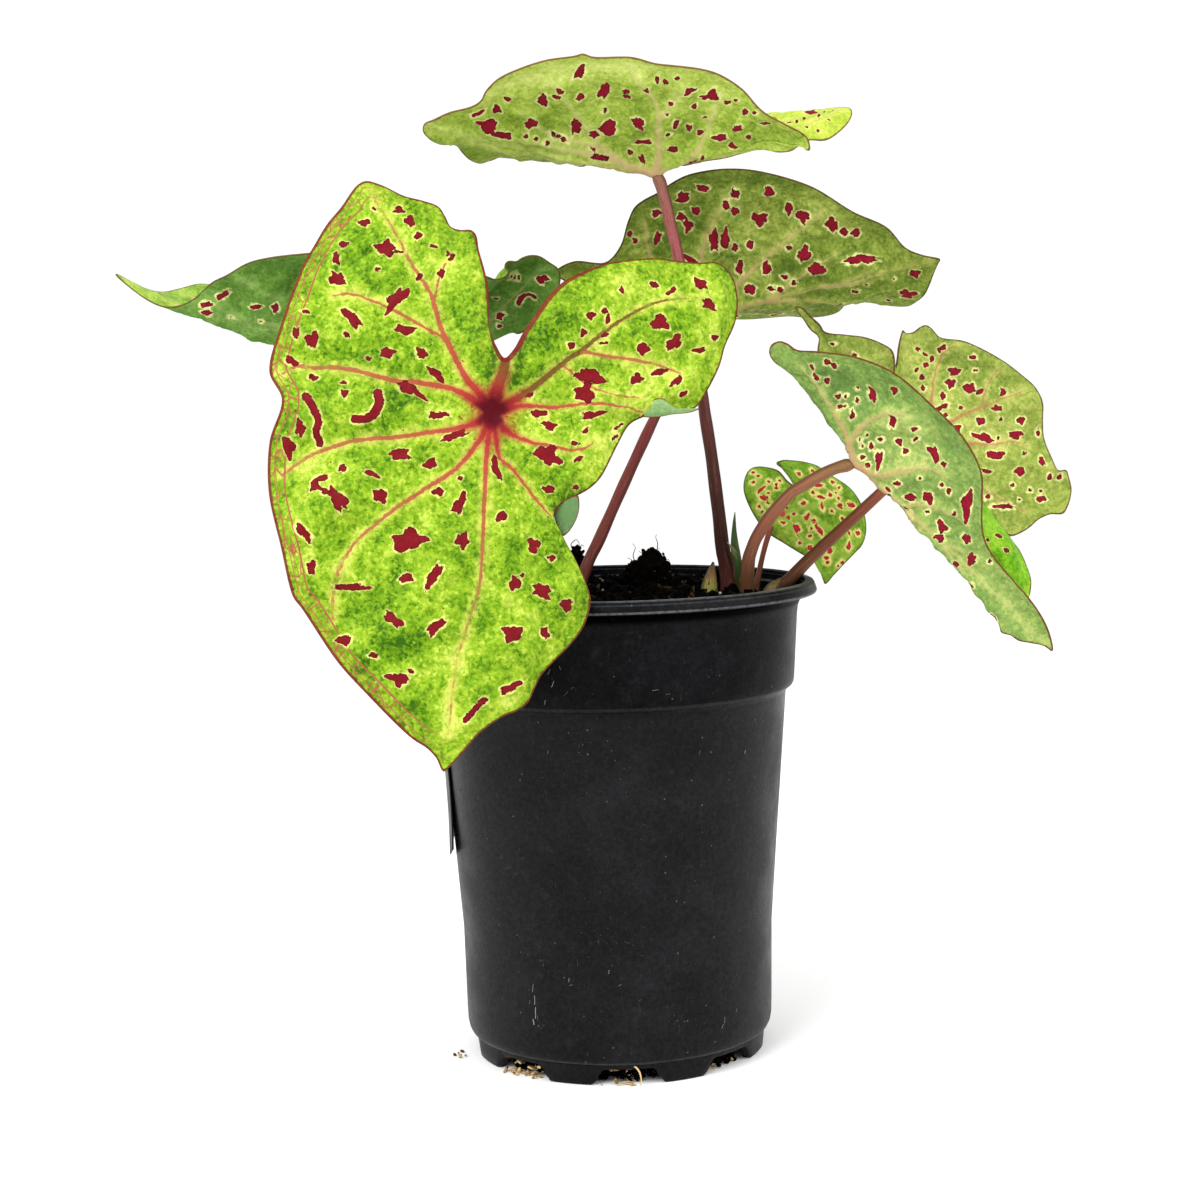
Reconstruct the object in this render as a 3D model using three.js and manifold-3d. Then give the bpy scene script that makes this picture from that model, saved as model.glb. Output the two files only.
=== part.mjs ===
// A caladium in a tall nursery pot: seven blades on their stalks, two tubers in the soil, young shoots.
// Millimetres, +Z up. It is drawn round the pot's axis with the feet on z = 0, and the whole group is then
// moved sideways, so that the origin lies on the floor under the middle of the plant's box.
import * as THREE from 'three';
import { mergeVertices } from 'three/addons/utils/BufferGeometryUtils.js';
import Module from 'manifold-3d';

const wasm = await Module();
wasm.setup();

// Driving dimensions.
const gap = 0.33; // clearance between neighbours
const bladeThickness = 0.7;
const potSides = 40;
const lipRadius = 60;
const lipHeight = 137.1; // top of the pot's lip
const floorLow = 4.6;
const floorTop = 6;
const footCount = 8;
const footGapHeight = 4;
const footGapLowWidth = 18.4;
const footGapHighWidth = 14.6;
const firstGapAngle = 2.6; // degrees from the front, towards the right
const footGapCut = { from: 37, to: 47 }; // radii the cut runs between
const drain = { inner: 33, outer: 38.6, width: 11 };
const soilSurface = 134.3;
const stalkSides = 8;

// Colours, as the real finishes look.
const plastic = { color: 0x242323, roughness: 0.5, metalness: 0 };
const earth = { color: 0x1c1512, roughness: 1, metalness: 0 };
const tuberSkin = { color: 0x4a3526, roughness: 0.9, metalness: 0 };
const bladeGreen = { color: 0x7fb43a, roughness: 0.5, metalness: 0 };
const undersideGreen = { color: 0x86a860, roughness: 0.6, metalness: 0 };
const stalkBrown = { color: 0x6e3a36, roughness: 0.5, metalness: 0 };
const stalkTan = { color: 0x9a6a5a, roughness: 0.5, metalness: 0 };
const shootPale = { color: 0xb4b46a, roughness: 0.6, metalness: 0 };
const shootGreen = { color: 0x4f7a34, roughness: 0.6, metalness: 0 };

const group = new THREE.Group();

function addPart(name, geometry, finish) {
  const mesh = new THREE.Mesh(geometry, new THREE.MeshStandardMaterial(finish));
  mesh.name = name;
  group.add(mesh);
}

// A closed mesh as a solid: shared vertices are merged, and faces that merging made flat are dropped.
function toSolid(geometry) {
  const bare = geometry.clone();
  bare.deleteAttribute('normal');
  bare.deleteAttribute('uv');
  const merged = mergeVertices(bare, 1e-4);
  const faces = [];
  const index = merged.index.array;
  for (let i = 0; i < index.length; i += 3) {
    const [a, b, c] = [index[i], index[i + 1], index[i + 2]];
    if (a !== b && b !== c && c !== a) faces.push(a, b, c);
  }
  const vertProperties = new Float32Array(merged.attributes.position.array);
  const triVerts = new Uint32Array(faces);
  return new wasm.Manifold(new wasm.Mesh({ numProp: 3, vertProperties, triVerts }));
}

function toGeometry(solid) {
  const mesh = solid.getMesh();
  const geometry = new THREE.BufferGeometry();
  geometry.setAttribute('position', new THREE.BufferAttribute(new Float32Array(mesh.vertProperties), 3));
  geometry.setIndex([...mesh.triVerts]);
  return geometry;
}

// Cutting can leave a scrap on the far side of the cut: only the largest body is kept.
function largest(solid) {
  const bodies = solid.decompose();
  return bodies.reduce((best, body) => (body.volume() > best.volume() ? body : best));
}

function turned(profile, sides = potSides) {
  const points = profile.map(([radius, height]) => new THREE.Vector2(radius, height));
  const geometry = new THREE.LatheGeometry(points, sides);
  geometry.rotateX(Math.PI / 2);
  return geometry;
}

// ---- Pot ----

// Outside of the wall from the foot's edge up to the lip, as [radius, height].
const potOutside = [
  [42.4, 0], [43, 5.3], [44, 8], [44.7, 13], [45.4, 37], [48.6, 79], [50.6, 105.4], [52.9, 107.3], [54.3, 129],
  [55.6, 132], [57.6, 133.2],
];
const lipOutside = [
  [lipRadius - 0.3, lipHeight - 3.5], [lipRadius, lipHeight - 3.1], [lipRadius - 0.7, lipHeight - 0.9],
  [lipRadius - 1.4, lipHeight],
];
// Inside of the wall from the lip down to the floor.
const potInside = [
  [57, lipHeight], [56.2, 136.4], [54.4, 132.6], [53.1, 129.2], [51.7, 108.2], [49.4, 106.2], [47.4, 79],
  [44.2, 37], [43.5, 13], [42.8, 8.8], [41, floorTop],
];
const footInside = [[38.8, floorLow], [39.7, 3.8], [39.9, 0]];

function footGap() {
  const low = footGapLowWidth / 2;
  const high = footGapHighWidth / 2;
  const outline = new THREE.Shape([
    new THREE.Vector2(-low, -1), new THREE.Vector2(low, -1), new THREE.Vector2(low, 0),
    new THREE.Vector2(high, footGapHeight), new THREE.Vector2(-high, footGapHeight), new THREE.Vector2(-low, 0),
  ]);
  const depth = footGapCut.to - footGapCut.from;
  const cut = new THREE.ExtrudeGeometry(outline, { depth, bevelEnabled: false });
  cut.rotateX(Math.PI / 2); // the outline stands upright and the depth runs along -Y, outwards
  cut.translate(0, -footGapCut.from, 0);
  return cut;
}

function drainSlot() {
  const through = 2 * (floorTop - floorLow);
  const cut = new THREE.BoxGeometry(drain.width, drain.outer - drain.inner, through);
  cut.translate(0, -(drain.inner + drain.outer) / 2, (floorLow + floorTop) / 2);
  return cut;
}

function pot() {
  const profile = [
    [0, floorLow], ...footInside, ...potOutside, ...lipOutside, ...potInside, [0, floorTop],
  ];
  let body = toSolid(turned(profile));
  for (let i = 0; i < footCount; i += 1) {
    const turn = THREE.MathUtils.degToRad(firstGapAngle + (i * 360) / footCount);
    for (const cut of [footGap(), drainSlot()]) {
      cut.rotateZ(turn);
      body = body.subtract(toSolid(cut));
    }
  }
  return body;
}

// ---- Limbs: stalks, shoots and anything else that is round and tapers ----

// A closed limb along a smooth curve, through [x, y, z, radius] rows.
function limb(rows, { extra = 0, steps = 2, sides = stalkSides } = {}) {
  const path = new THREE.CatmullRomCurve3(rows.map(([x, y, z]) => new THREE.Vector3(x, y, z)), false, 'centripetal');
  const count = (rows.length - 1) * steps;
  const points = [];
  const radii = [];
  for (let i = 0; i <= count; i += 1) {
    points.push(path.getPoint(i / count));
    const at = Math.min(Math.floor(i / steps), rows.length - 2);
    radii.push(THREE.MathUtils.lerp(rows[at][3], rows[at + 1][3], i / steps - at) + extra);
  }
  const start = path.getTangent(0);
  const finish = path.getTangent(1);
  points[0].addScaledVector(start, -extra);
  points[count].addScaledVector(finish, extra);
  const vertices = [points[0].clone()];
  let across = new THREE.Vector3(1, 0, 0);
  for (let i = 0; i <= count; i += 1) {
    const along = path.getTangent(i / count);
    across = across.clone().addScaledVector(along, -across.dot(along)).normalize();
    const other = new THREE.Vector3().crossVectors(along, across);
    for (let k = 0; k < sides; k += 1) {
      const angle = (k / sides) * 2 * Math.PI;
      vertices.push(points[i].clone()
        .addScaledVector(across, radii[i] * Math.cos(angle))
        .addScaledVector(other, radii[i] * Math.sin(angle)));
    }
  }
  vertices.push(points[count].clone());
  const ring = (i, k) => 1 + i * sides + (k % sides);
  const faces = [];
  for (let k = 0; k < sides; k += 1) {
    faces.push(0, ring(0, k + 1), ring(0, k));
    faces.push(vertices.length - 1, ring(count, k), ring(count, k + 1));
    for (let i = 0; i < count; i += 1) {
      faces.push(ring(i, k), ring(i, k + 1), ring(i + 1, k + 1));
      faces.push(ring(i, k), ring(i + 1, k + 1), ring(i + 1, k));
    }
  }
  const geometry = new THREE.BufferGeometry().setFromPoints(vertices);
  geometry.setIndex(faces);
  return geometry;
}

// ---- Leaves ----

// A closed smooth curve through the rows, spaced by the root of the distance, `steps` points a row.
function smoothLoop(rows, steps) {
  const count = rows.length;
  const span = (a, b) => Math.sqrt(Math.max(Math.hypot(a[0] - b[0], a[1] - b[1], a[2] - b[2]), 1e-6));
  const mix = (a, b, from, to, at) => a.map((value, i) => (value * (to - at) + b[i] * (at - from)) / (to - from));
  const loop = [];
  for (let i = 0; i < count; i += 1) {
    const [p0, p1, p2, p3] = [-1, 0, 1, 2].map((offset) => rows[(i + offset + count) % count]);
    const t1 = span(p0, p1);
    const t2 = t1 + span(p1, p2);
    const t3 = t2 + span(p2, p3);
    for (let j = 0; j < steps; j += 1) {
      const at = t1 + ((t2 - t1) * j) / steps;
      const a1 = mix(p0, p1, 0, t1, at);
      const a2 = mix(p1, p2, t1, t2, at);
      const a3 = mix(p2, p3, t2, t3, at);
      loop.push(mix(mix(a1, a2, 0, t2, at), mix(a2, a3, t1, t3, at), t1, t2, at));
    }
  }
  return loop;
}

// A blade is a fan of curved ribs from the hub, where the stalk meets it, out to its margin. The margin's rows
// are [x, y, z, bow], anticlockwise as seen from the upper side; bow lifts a rib's middle to that side.
function blade({ hub, margin, bow, steps = 2 }, thickness) {
  const rings = 4;
  const rows = margin.map(([x, y, z, own = bow]) => [x, y, z, own]);
  const loop = smoothLoop(rows, steps);
  const centre = new THREE.Vector3(...hub);
  const edge = loop.map(([x, y, z]) => new THREE.Vector3(x, y, z));
  const upper = new THREE.Vector3();
  edge.forEach((point, i) => {
    const next = edge[(i + 1) % edge.length];
    upper.add(new THREE.Vector3().crossVectors(point.clone().sub(centre), next.clone().sub(centre)));
  });
  upper.normalize();

  const sheet = [centre];
  for (let r = 1; r <= rings; r += 1) {
    const s = r / rings;
    edge.forEach((point, i) => {
      sheet.push(centre.clone().lerp(point, s).addScaledVector(upper, loop[i][3] * 4 * s * (1 - s)));
    });
  }
  const at = (r, i) => 1 + (r - 1) * edge.length + (i % edge.length);
  const faces = [];
  for (let i = 0; i < edge.length; i += 1) {
    faces.push([0, at(1, i), at(1, i + 1)]);
    for (let r = 1; r < rings; r += 1) {
      faces.push([at(r, i), at(r + 1, i), at(r + 1, i + 1)]);
      faces.push([at(r, i), at(r + 1, i + 1), at(r, i + 1)]);
    }
  }
  const normals = sheet.map(() => new THREE.Vector3());
  for (const [a, b, c] of faces) {
    const ab = sheet[b].clone().sub(sheet[a]);
    const normal = ab.cross(sheet[c].clone().sub(sheet[a])).normalize();
    for (const corner of [a, b, c]) normals[corner].add(normal);
  }
  normals.forEach((normal) => normal.normalize());

  const top = sheet.map((point, i) => point.clone().addScaledVector(normals[i], thickness / 2));
  const under = sheet.map((point, i) => point.clone().addScaledVector(normals[i], -thickness / 2));
  const index = [];
  for (const [a, b, c] of faces) {
    index.push(a, b, c);
    index.push(a + sheet.length, c + sheet.length, b + sheet.length);
  }
  for (let i = 0; i < edge.length; i += 1) {
    const [a, b] = [at(rings, i), at(rings, i + 1)];
    index.push(a, a + sheet.length, b + sheet.length);
    index.push(a, b + sheet.length, b);
  }
  const geometry = new THREE.BufferGeometry().setFromPoints([...top, ...under]);
  geometry.setIndex(index);
  return geometry;
}

const leaves = {
  front: {
    finish: bladeGreen,
    hub: [-30, -62, 188],
    bow: 3,
    steps: 1,
    margin: [
      [-44, -82, 96.5], [-34, -80, 106], [-20.5, -73, 116], [-11, -67, 127], [-5.5, -65, 138],
      [-10.5, -66, 151], [-14.5, -66, 161], [-2, -60, 170], [6, -51, 183.5], [15, -48, 187.5],
      [22.5, -44, 189], [27.5, -42, 192], [32.5, -38, 201.5], [36.5, -34, 215.5], [31.5, -34, 226.5],
      [15, -40, 228], [1.5, -44, 226.5], [-10.5, -50, 222], [-18.5, -55, 213], [-26.5, -59, 202],
      [-30, -56.5, 212.5], [-31, -53, 224.5], [-33, -49, 235], [-38.5, -48, 236.5], [-42.5, -46, 242],
      [-52, -46, 245.5], [-62.5, -48, 249.5], [-68.5, -51, 242.5], [-73.5, -52, 238.5], [-79.5, -56, 227.5],
      [-84, -63, 212.5], [-87.5, -64, 200], [-84, -68, 192.5], [-87.5, -68, 182], [-88, -70, 169.5],
      [-84.5, -77, 155.5], [-82, -76, 142.5], [-76, -79, 134.5], [-71, -78, 125.5], [-63, -82, 117],
      [-54.5, -80, 108], [-46, -82, 102.5],
    ],
    stalk: [
      [-19, -3, 113, 2.3], [-17.5, -4, 126, 2.3], [-17, -5, 136, 2.2], [-18, -14, 149, 2], [-21, -32, 166, 1.9],
      [-25, -50, 179, 1.8], [-30, -62, 188, 1.7],
    ],
    stalkFinish: stalkTan,
  },
  top: {
    finish: undersideGreen,
    hub: [16, 4, 254],
    bow: 2,
    margin: [
      [-50, -4, 267.5, -2.5], [-42, -10, 271, -1], [-32.5, -14.5, 274], [-22, -24, 280.5], [-5.5, -30, 283.5],
      [9.5, -30.5, 282.5], [20.5, -29.5, 280.5], [32.5, -28, 278], [39.5, -24, 274], [45.5, -23, 267.5],
      [51, -24, 264.5], [57, -22, 261], [51, -15, 258], [45.5, -11, 259.5], [32.5, -3, 257.5], [24, 5, 256],
      [41, 11, 260.5], [61, 20, 264.5], [68, 25, 265], [75, 30, 271], [75.5, 35, 275], [58.5, 46, 275],
      [43.5, 52, 275], [25, 54, 273.5], [6.5, 52, 272.5], [-12, 46, 269], [-26.5, 38, 265, 0],
      [-37, 28, 261, -1], [-42, 16, 264.5, -2], [-47, 5, 263.5, -2.5],
    ],
    stalk: [
      [37, -6, 113, 3.2], [36, -5, 132, 3], [34, -4, 143, 2.3], [33, -3, 155, 2.1], [31, -1, 173, 1.9],
      [28, 1, 191, 1.8], [25.5, 3, 209, 1.7], [22, 5, 230, 1.6], [18.5, 5, 245, 1.5], [16, 4, 254, 1.5],
    ],
    stalkFinish: stalkBrown,
  },
  back_right: {
    finish: undersideGreen,
    hub: [28, 38, 214],
    bow: 2,
    margin: [
      [101, 26, 229, 0], [99.5, 30, 225, 0], [98, 36, 219, 0], [93.5, 45, 216, 0], [88.5, 52, 216.5],
      [81.5, 60, 218.5], [74.5, 68, 215], [63.5, 78, 213], [45, 86, 214], [22, 88, 217], [3, 82, 220],
      [-3.5, 68, 219], [7, 54, 215], [19.5, 38, 212.5], [8, 37.5, 216], [-7, 33.5, 223], [-14, 30.5, 228],
      [-8.5, 28.5, 231], [1, 28.5, 230.5], [5.5, 26, 235], [10, 19, 246], [17, 16.5, 249.5], [30.5, 12.5, 255],
      [45.5, 12, 255], [61.5, 14.5, 250.5], [74.5, 18.5, 243], [84.5, 21, 238.5, 1], [91.5, 24, 232.5, 0],
    ],
    stalk: [
      [-15, 1, 113, 2.2], [-12, 4, 126, 2.2], [-10, 6, 134, 2.2], [-3, 11, 148, 2], [7.5, 18, 166, 1.9],
      [16.5, 25, 185, 1.8], [24, 32, 200, 1.7], [28, 38, 214, 1.6],
    ],
    stalkFinish: stalkBrown,
  },
  left: {
    finish: undersideGreen,
    hub: [-47, 18, 199],
    bow: 1.5,
    margin: [
      [-141.5, 8, 229.5, -6], [-134, 7, 223, -5], [-125.5, 5, 219.5, -4], [-119.5, 3, 221, -3],
      [-112.5, 0, 226, -2], [-107.5, -4, 228, -1], [-101.5, -5, 231, 0], [-94.5, -8.5, 232.5], [-83, -12.5, 233],
      [-67.5, -17, 233.5], [-50.5, -20.5, 232], [-33, -17.5, 225.5], [-27, -8, 225.5], [-23, -8, 230],
      [-18.5, -7, 231], [-12, -3, 226.5], [-15.5, 3, 216], [-24.5, 8.5, 209], [-31, 12, 210],
      [-40.5, 17, 204.5], [-31.5, 34, 213], [-30, 50, 221], [-44.5, 62, 226.5], [-70, 62, 227],
      [-97, 52, 225.5], [-115, 38, 226.5, 0], [-121.5, 30, 227, -2], [-126.5, 25, 225.5, -3],
      [-130.5, 20, 224.5, -4], [-134.5, 14, 225.5, -5],
    ],
    stalk: [
      [-23, 2, 113, 2], [-22, 2, 126, 2], [-22, 2, 135, 2], [-24, 3, 150, 1.9], [-29, 7, 169, 1.8],
      [-38, 13, 186, 1.7], [-47, 18, 199, 1.6],
    ],
    stalkFinish: stalkTan,
  },
  right_front: {
    finish: undersideGreen,
    hub: [68, -30, 171],
    bow: 1,
    steps: 1,
    margin: [
      [122.5, -34, 118.5], [116, -34, 121], [110, -31, 122.5], [110, -26, 126], [117, -20, 129.5],
      [119.5, -16, 135.5], [118.5, -8, 143.5], [111.5, 0, 153.5], [106, 4, 162.5], [99, 6, 174.5],
      [87.5, 6, 186], [75.5, 3, 191], [67, -8, 188], [67, -20, 179.5], [67.5, -27, 174.5], [64.5, -29.5, 178.5],
      [60.5, -30, 185], [56, -31, 192], [52, -31, 197.5], [47, -31.5, 200.5], [46.5, -34.5, 204.5],
      [51, -36, 203], [58, -39.5, 202], [68, -44, 200], [77.5, -47, 195.5], [86.5, -48, 187.5],
      [95.5, -48, 178], [100.5, -46.5, 168.5], [101.5, -43.5, 161], [102, -39.5, 152.5], [104.5, -37.5, 145.5],
      [111, -37, 137.5], [115, -37.5, 133.5], [119.5, -37, 127.5],
    ],
    stalk: [
      [41.5, -10.5, 113, 2], [40, -12.5, 124, 2], [39, -14, 134, 2], [40, -16, 143, 1.9], [43, -18, 153, 1.9],
      [48.5, -21, 161, 1.8], [56, -25, 167, 1.7], [63, -28, 170, 1.7], [68, -30, 171, 1.7],
    ],
    stalkFinish: stalkTan,
  },
  right_back: {
    finish: undersideGreen,
    hub: [98, 32, 174],
    bow: 3,
    margin: [
      [110.5, 25, 138.5], [96, 28, 143.5], [83, 31, 157.5], [74.5, 33, 172.5], [68, 33, 188],
      [62.5, 32, 204.5], [58.5, 30, 215.5], [67, 31, 207.5], [74.5, 34, 207], [84, 36, 204], [88.5, 35, 195],
      [91.5, 40, 208], [99, 44, 209.5], [104, 45, 206], [110, 42, 205], [124.5, 44, 197], [133.5, 40, 186],
      [136, 43, 172.5], [139.5, 38, 164], [143, 39, 160], [141, 35, 154.5], [134.5, 37, 151],
      [122, 31, 145.5],
    ],
    stalk: [
      [45, -3, 113, 2.1], [46, -2, 124, 2.1], [49, 1.5, 133.5, 2], [58, 7, 141, 1.9], [70, 14, 151, 1.85],
      [82, 22, 160, 1.8], [91, 28, 167, 1.7], [98, 32, 174, 1.7],
    ],
    stalkFinish: stalkBrown,
  },
  small: {
    finish: bladeGreen,
    hub: [52, 24, 154],
    bow: 1.5,
    margin: [
      [64.5, 17, 133.5], [71, 21, 138.5], [76, 25, 143], [78, 28.5, 149], [77, 31, 156], [73, 32.5, 160.5],
      [67.5, 33.5, 165.5], [61, 33.5, 169], [55, 32, 168.5], [53, 28.5, 161.5], [50.5, 29.5, 166.5],
      [45, 29, 168], [42, 26.5, 164.5], [42.5, 23.5, 157.5], [46, 21, 151], [53, 20, 145.5],
      [58.5, 19.5, 141.5], [62, 18.5, 137],
    ],
    stalk: [
      [42, 2, 113, 1], [42, 2, 123, 1], [43, 3, 131, 0.9], [45, 6, 139, 0.85], [47, 11, 146, 0.8],
      [49, 18, 152, 0.8], [52, 24, 154, 0.8],
    ],
    stalkFinish: stalkBrown,
  },
};

// ---- Below the surface: two tubers ----

const tubers = {
  tuber_left: { centre: [-18, 0, 112], radii: [12, 9, 8] },
  tuber_right: { centre: [38.5, -4.5, 111], radii: [11, 11, 8] },
};

function ellipsoid(centre, radii, extra = 0) {
  const ball = new THREE.SphereGeometry(1, 14, 8);
  ball.rotateX(Math.PI / 2);
  ball.scale(...radii.map((radius) => radius + extra));
  ball.translate(...centre);
  return ball;
}

// ---- Young growth at the feet of the stalks ----

const shoots = {
  shoot_cone: {
    rows: [
      [32, -9, 113, 1.6], [29.5, -10, 126, 2.2], [28.5, -10, 134, 2.3], [29.4, -10, 139, 1.5],
      [29.8, -10, 142.7, 0.35],
    ],
    finish: shootPale,
  },
  shoot_spear: {
    rows: [[40.6, -7.6, 127, 1.2], [40.4, -7.8, 138, 1.3], [38.8, -8, 146, 0.9], [37.6, -8, 156, 0.3]],
    finish: shootGreen,
  },
  shoot_bract: {
    rows: [[36.6, -10.4, 128, 0.9], [36.4, -10.2, 138, 1], [35.4, -9.4, 145, 0.7], [34.6, -9, 149, 0.3]],
    finish: shootGreen,
  },
  shoot_sheath: {
    rows: [[46.6, -7.4, 124, 1.9], [47.4, -6.4, 131, 1.8], [49, -5, 134.6, 1.3], [50.8, -3.8, 137.2, 0.35]],
    finish: shootPale,
  },
};

// ---- Soil ----

const soilBaseRadius = 40.2;
const soilTopRadii = [54.2, 46, 37, 28, 19, 9]; // rings of the surface, from the wall inwards

// Coarse lumps that stand out of the surface: where they sit and how far they reach.
const lumps = [
  { centre: [12.6, 18, 136], radii: [5.6, 5, 8.8], grain: 0.07, turn: 0.4 },
  { centre: [8.2, 19, 136], radii: [3.8, 4, 5.2], grain: 0.07, turn: 1.7 },
  { centre: [-10, 31, 137], radii: [3.2, 3.4, 8.4], grain: 0.08, turn: 2.6 },
];

function surfaceHeight(x, y) {
  const grain = 0.5 * Math.sin(x * 0.45 + 1.3) * Math.cos(y * 0.38) + 0.3 * Math.sin(x * 0.9 - y * 0.7);
  const dip = THREE.MathUtils.smoothstep(x, 36, 50) * 4.2;
  return soilSurface + grain - dip;
}

function lump({ centre, radii, grain, turn }) {
  const rock = new THREE.IcosahedronGeometry(1, 1);
  const place = rock.attributes.position;
  for (let i = 0; i < place.count; i += 1) {
    const [x, y, z] = [place.getX(i), place.getY(i), place.getZ(i)];
    const swell = 1 + grain * (Math.sin(5 * x + turn) * Math.cos(4 * y - turn) + Math.sin(7 * z + 3 * x));
    place.setXYZ(i, x * swell * radii[0], y * swell * radii[1], z * swell * radii[2]);
  }
  rock.translate(...centre);
  return rock;
}

function soil(holes) {
  const base = floorTop + gap;
  const wall = potInside.filter(([, height]) => height > floorTop && height < soilSurface - 1);
  const side = wall.map(([radius, height]) => [radius - gap, height]).reverse();
  const top = soilTopRadii.map((radius) => [radius, soilSurface]);
  const profile = [[0, base], [soilBaseRadius, base], ...side, ...top, [0, soilSurface]];
  const heap = turned(profile);
  const place = heap.attributes.position;
  for (let i = 0; i < place.count; i += 1) {
    if (place.getZ(i) > soilSurface - 0.01) place.setZ(i, surfaceHeight(place.getX(i), place.getY(i)));
  }
  let body = toSolid(heap);
  for (const shape of lumps) body = body.add(toSolid(lump(shape)));
  for (const hole of holes) body = body.subtract(hole);
  return body;
}

// ---- Blank label, a thin flap that has come away at its lower end ----

const flap = { thickness: 0.6, low: 58, high: 86, from: 166, to: 196, lift: 1.1 };

function labelFlap() {
  const columns = 8;
  const levels = 6;
  const wallRadius = (height) => THREE.MathUtils.mapLinear(height, 37, 79, 45.4, 48.6);
  const vertices = [];
  for (const side of [0, flap.thickness]) {
    for (let j = 0; j <= levels; j += 1) {
      const up = j / levels;
      const height = THREE.MathUtils.lerp(flap.low, flap.high, up);
      const away = gap + 0.1 + flap.lift * (1 - up) ** 2 + side;
      for (let i = 0; i <= columns; i += 1) {
        const angle = THREE.MathUtils.degToRad(THREE.MathUtils.lerp(flap.from, flap.to, i / columns));
        const radius = wallRadius(height) + away;
        vertices.push(new THREE.Vector3(radius * Math.cos(angle), radius * Math.sin(angle), height));
      }
    }
  }
  const at = (side, j, i) => (side * (levels + 1) + j) * (columns + 1) + i;
  const faces = [];
  const quad = (a, b, c, d) => faces.push(a, b, c, a, c, d);
  for (let j = 0; j < levels; j += 1) {
    for (let i = 0; i < columns; i += 1) {
      quad(at(1, j, i), at(1, j, i + 1), at(1, j + 1, i + 1), at(1, j + 1, i));
      quad(at(0, j, i), at(0, j + 1, i), at(0, j + 1, i + 1), at(0, j, i + 1));
    }
    quad(at(0, j, 0), at(1, j, 0), at(1, j + 1, 0), at(0, j + 1, 0));
    quad(at(0, j, columns), at(0, j + 1, columns), at(1, j + 1, columns), at(1, j, columns));
  }
  for (let i = 0; i < columns; i += 1) {
    quad(at(0, 0, i), at(0, 0, i + 1), at(1, 0, i + 1), at(1, 0, i));
    quad(at(0, levels, i), at(1, levels, i), at(1, levels, i + 1), at(0, levels, i + 1));
  }
  const geometry = new THREE.BufferGeometry().setFromPoints(vertices);
  geometry.setIndex(faces);
  return geometry;
}

// ---- Assembly ----

const tuberRooms = Object.values(tubers).map(({ centre, radii }) => toSolid(ellipsoid(centre, radii, gap)));
const holes = [...tuberRooms];

for (const [name, { centre, radii }] of Object.entries(tubers)) {
  addPart(name, ellipsoid(centre, radii), tuberSkin);
}

// A stalk stands on its tuber and ends under its blade, a gap away from both.
for (const [name, leaf] of Object.entries(leaves)) {
  addPart(`leaf_${name}`, blade(leaf, bladeThickness), leaf.finish);
  let stalk = toSolid(limb(leaf.stalk)).subtract(toSolid(blade(leaf, bladeThickness + 2 * gap)));
  for (const room of tuberRooms) stalk = stalk.subtract(room);
  addPart(`stem_${name}`, toGeometry(largest(stalk)), leaf.stalkFinish);
  holes.push(toSolid(limb(leaf.stalk, { extra: gap })));
}

for (const [name, { rows, finish }] of Object.entries(shoots)) {
  let shoot = toSolid(limb(rows));
  for (const room of tuberRooms) shoot = shoot.subtract(room);
  addPart(name, toGeometry(largest(shoot)), finish);
  holes.push(toSolid(limb(rows, { extra: gap })));
}

addPart('pot', toGeometry(pot()), plastic);
addPart('soil', toGeometry(largest(soil(holes))), earth);
addPart('label_flap', labelFlap(), plastic);

// The origin goes under the middle of the plant's box.
const box = new THREE.Box3().setFromObject(group);
group.position.set(-(box.min.x + box.max.x) / 2, -(box.min.y + box.max.y) / 2, -box.min.z);
group.updateMatrixWorld(true);

export default group;
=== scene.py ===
import math

import bmesh
import bpy
import numpy as np
from mathutils import Euler, Matrix, Vector
from mathutils.geometry import delaunay_2d_cdt


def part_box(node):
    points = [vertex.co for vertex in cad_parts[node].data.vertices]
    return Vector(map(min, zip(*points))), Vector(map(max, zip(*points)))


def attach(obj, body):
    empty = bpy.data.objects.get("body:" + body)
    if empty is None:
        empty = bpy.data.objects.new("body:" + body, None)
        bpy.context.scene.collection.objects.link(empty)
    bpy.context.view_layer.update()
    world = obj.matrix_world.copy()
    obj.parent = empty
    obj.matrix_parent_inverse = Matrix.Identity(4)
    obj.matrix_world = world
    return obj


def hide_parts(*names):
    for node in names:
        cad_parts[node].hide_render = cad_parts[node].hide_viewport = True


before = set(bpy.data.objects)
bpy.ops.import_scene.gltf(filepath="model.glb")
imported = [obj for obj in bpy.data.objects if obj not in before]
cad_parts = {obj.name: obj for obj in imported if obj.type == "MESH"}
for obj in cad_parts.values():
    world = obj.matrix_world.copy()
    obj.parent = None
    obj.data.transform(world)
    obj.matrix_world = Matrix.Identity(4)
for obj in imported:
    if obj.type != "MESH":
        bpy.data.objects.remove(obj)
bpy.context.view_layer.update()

mm = 0.001
potLow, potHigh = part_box("pot")
potAxis = np.array([(potLow.x + potHigh.x) / 2, (potLow.y + potHigh.y) / 2, 0.0])
print("frame loaded,", len(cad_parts), "nodes")

# Lengths in this file are in millimetres round the pot's axis, with the feet on z = 0. inFrame() moves them.


def inFrame(points):
    return np.asarray(points, float) * mm + potAxis


# A place on a circle round the pot's axis; with an array of turns, a row for each of them.
def onCircle(radius, turn, height):
    return np.stack(np.broadcast_arrays(radius * np.cos(turn), radius * np.sin(turn), height), -1)


def fullTurn(sides):
    return np.arange(sides) * 2 * math.pi / sides


def lengthsAlong(line):
    return np.concatenate([[0], np.cumsum(np.linalg.norm(np.diff(line, axis=0), axis=1))])


# The columns of a table, each read at its own place along the run.
def readAlong(at, run, table):
    return np.stack([np.interp(at, run, column) for column in np.asarray(table).T], -1)


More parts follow.
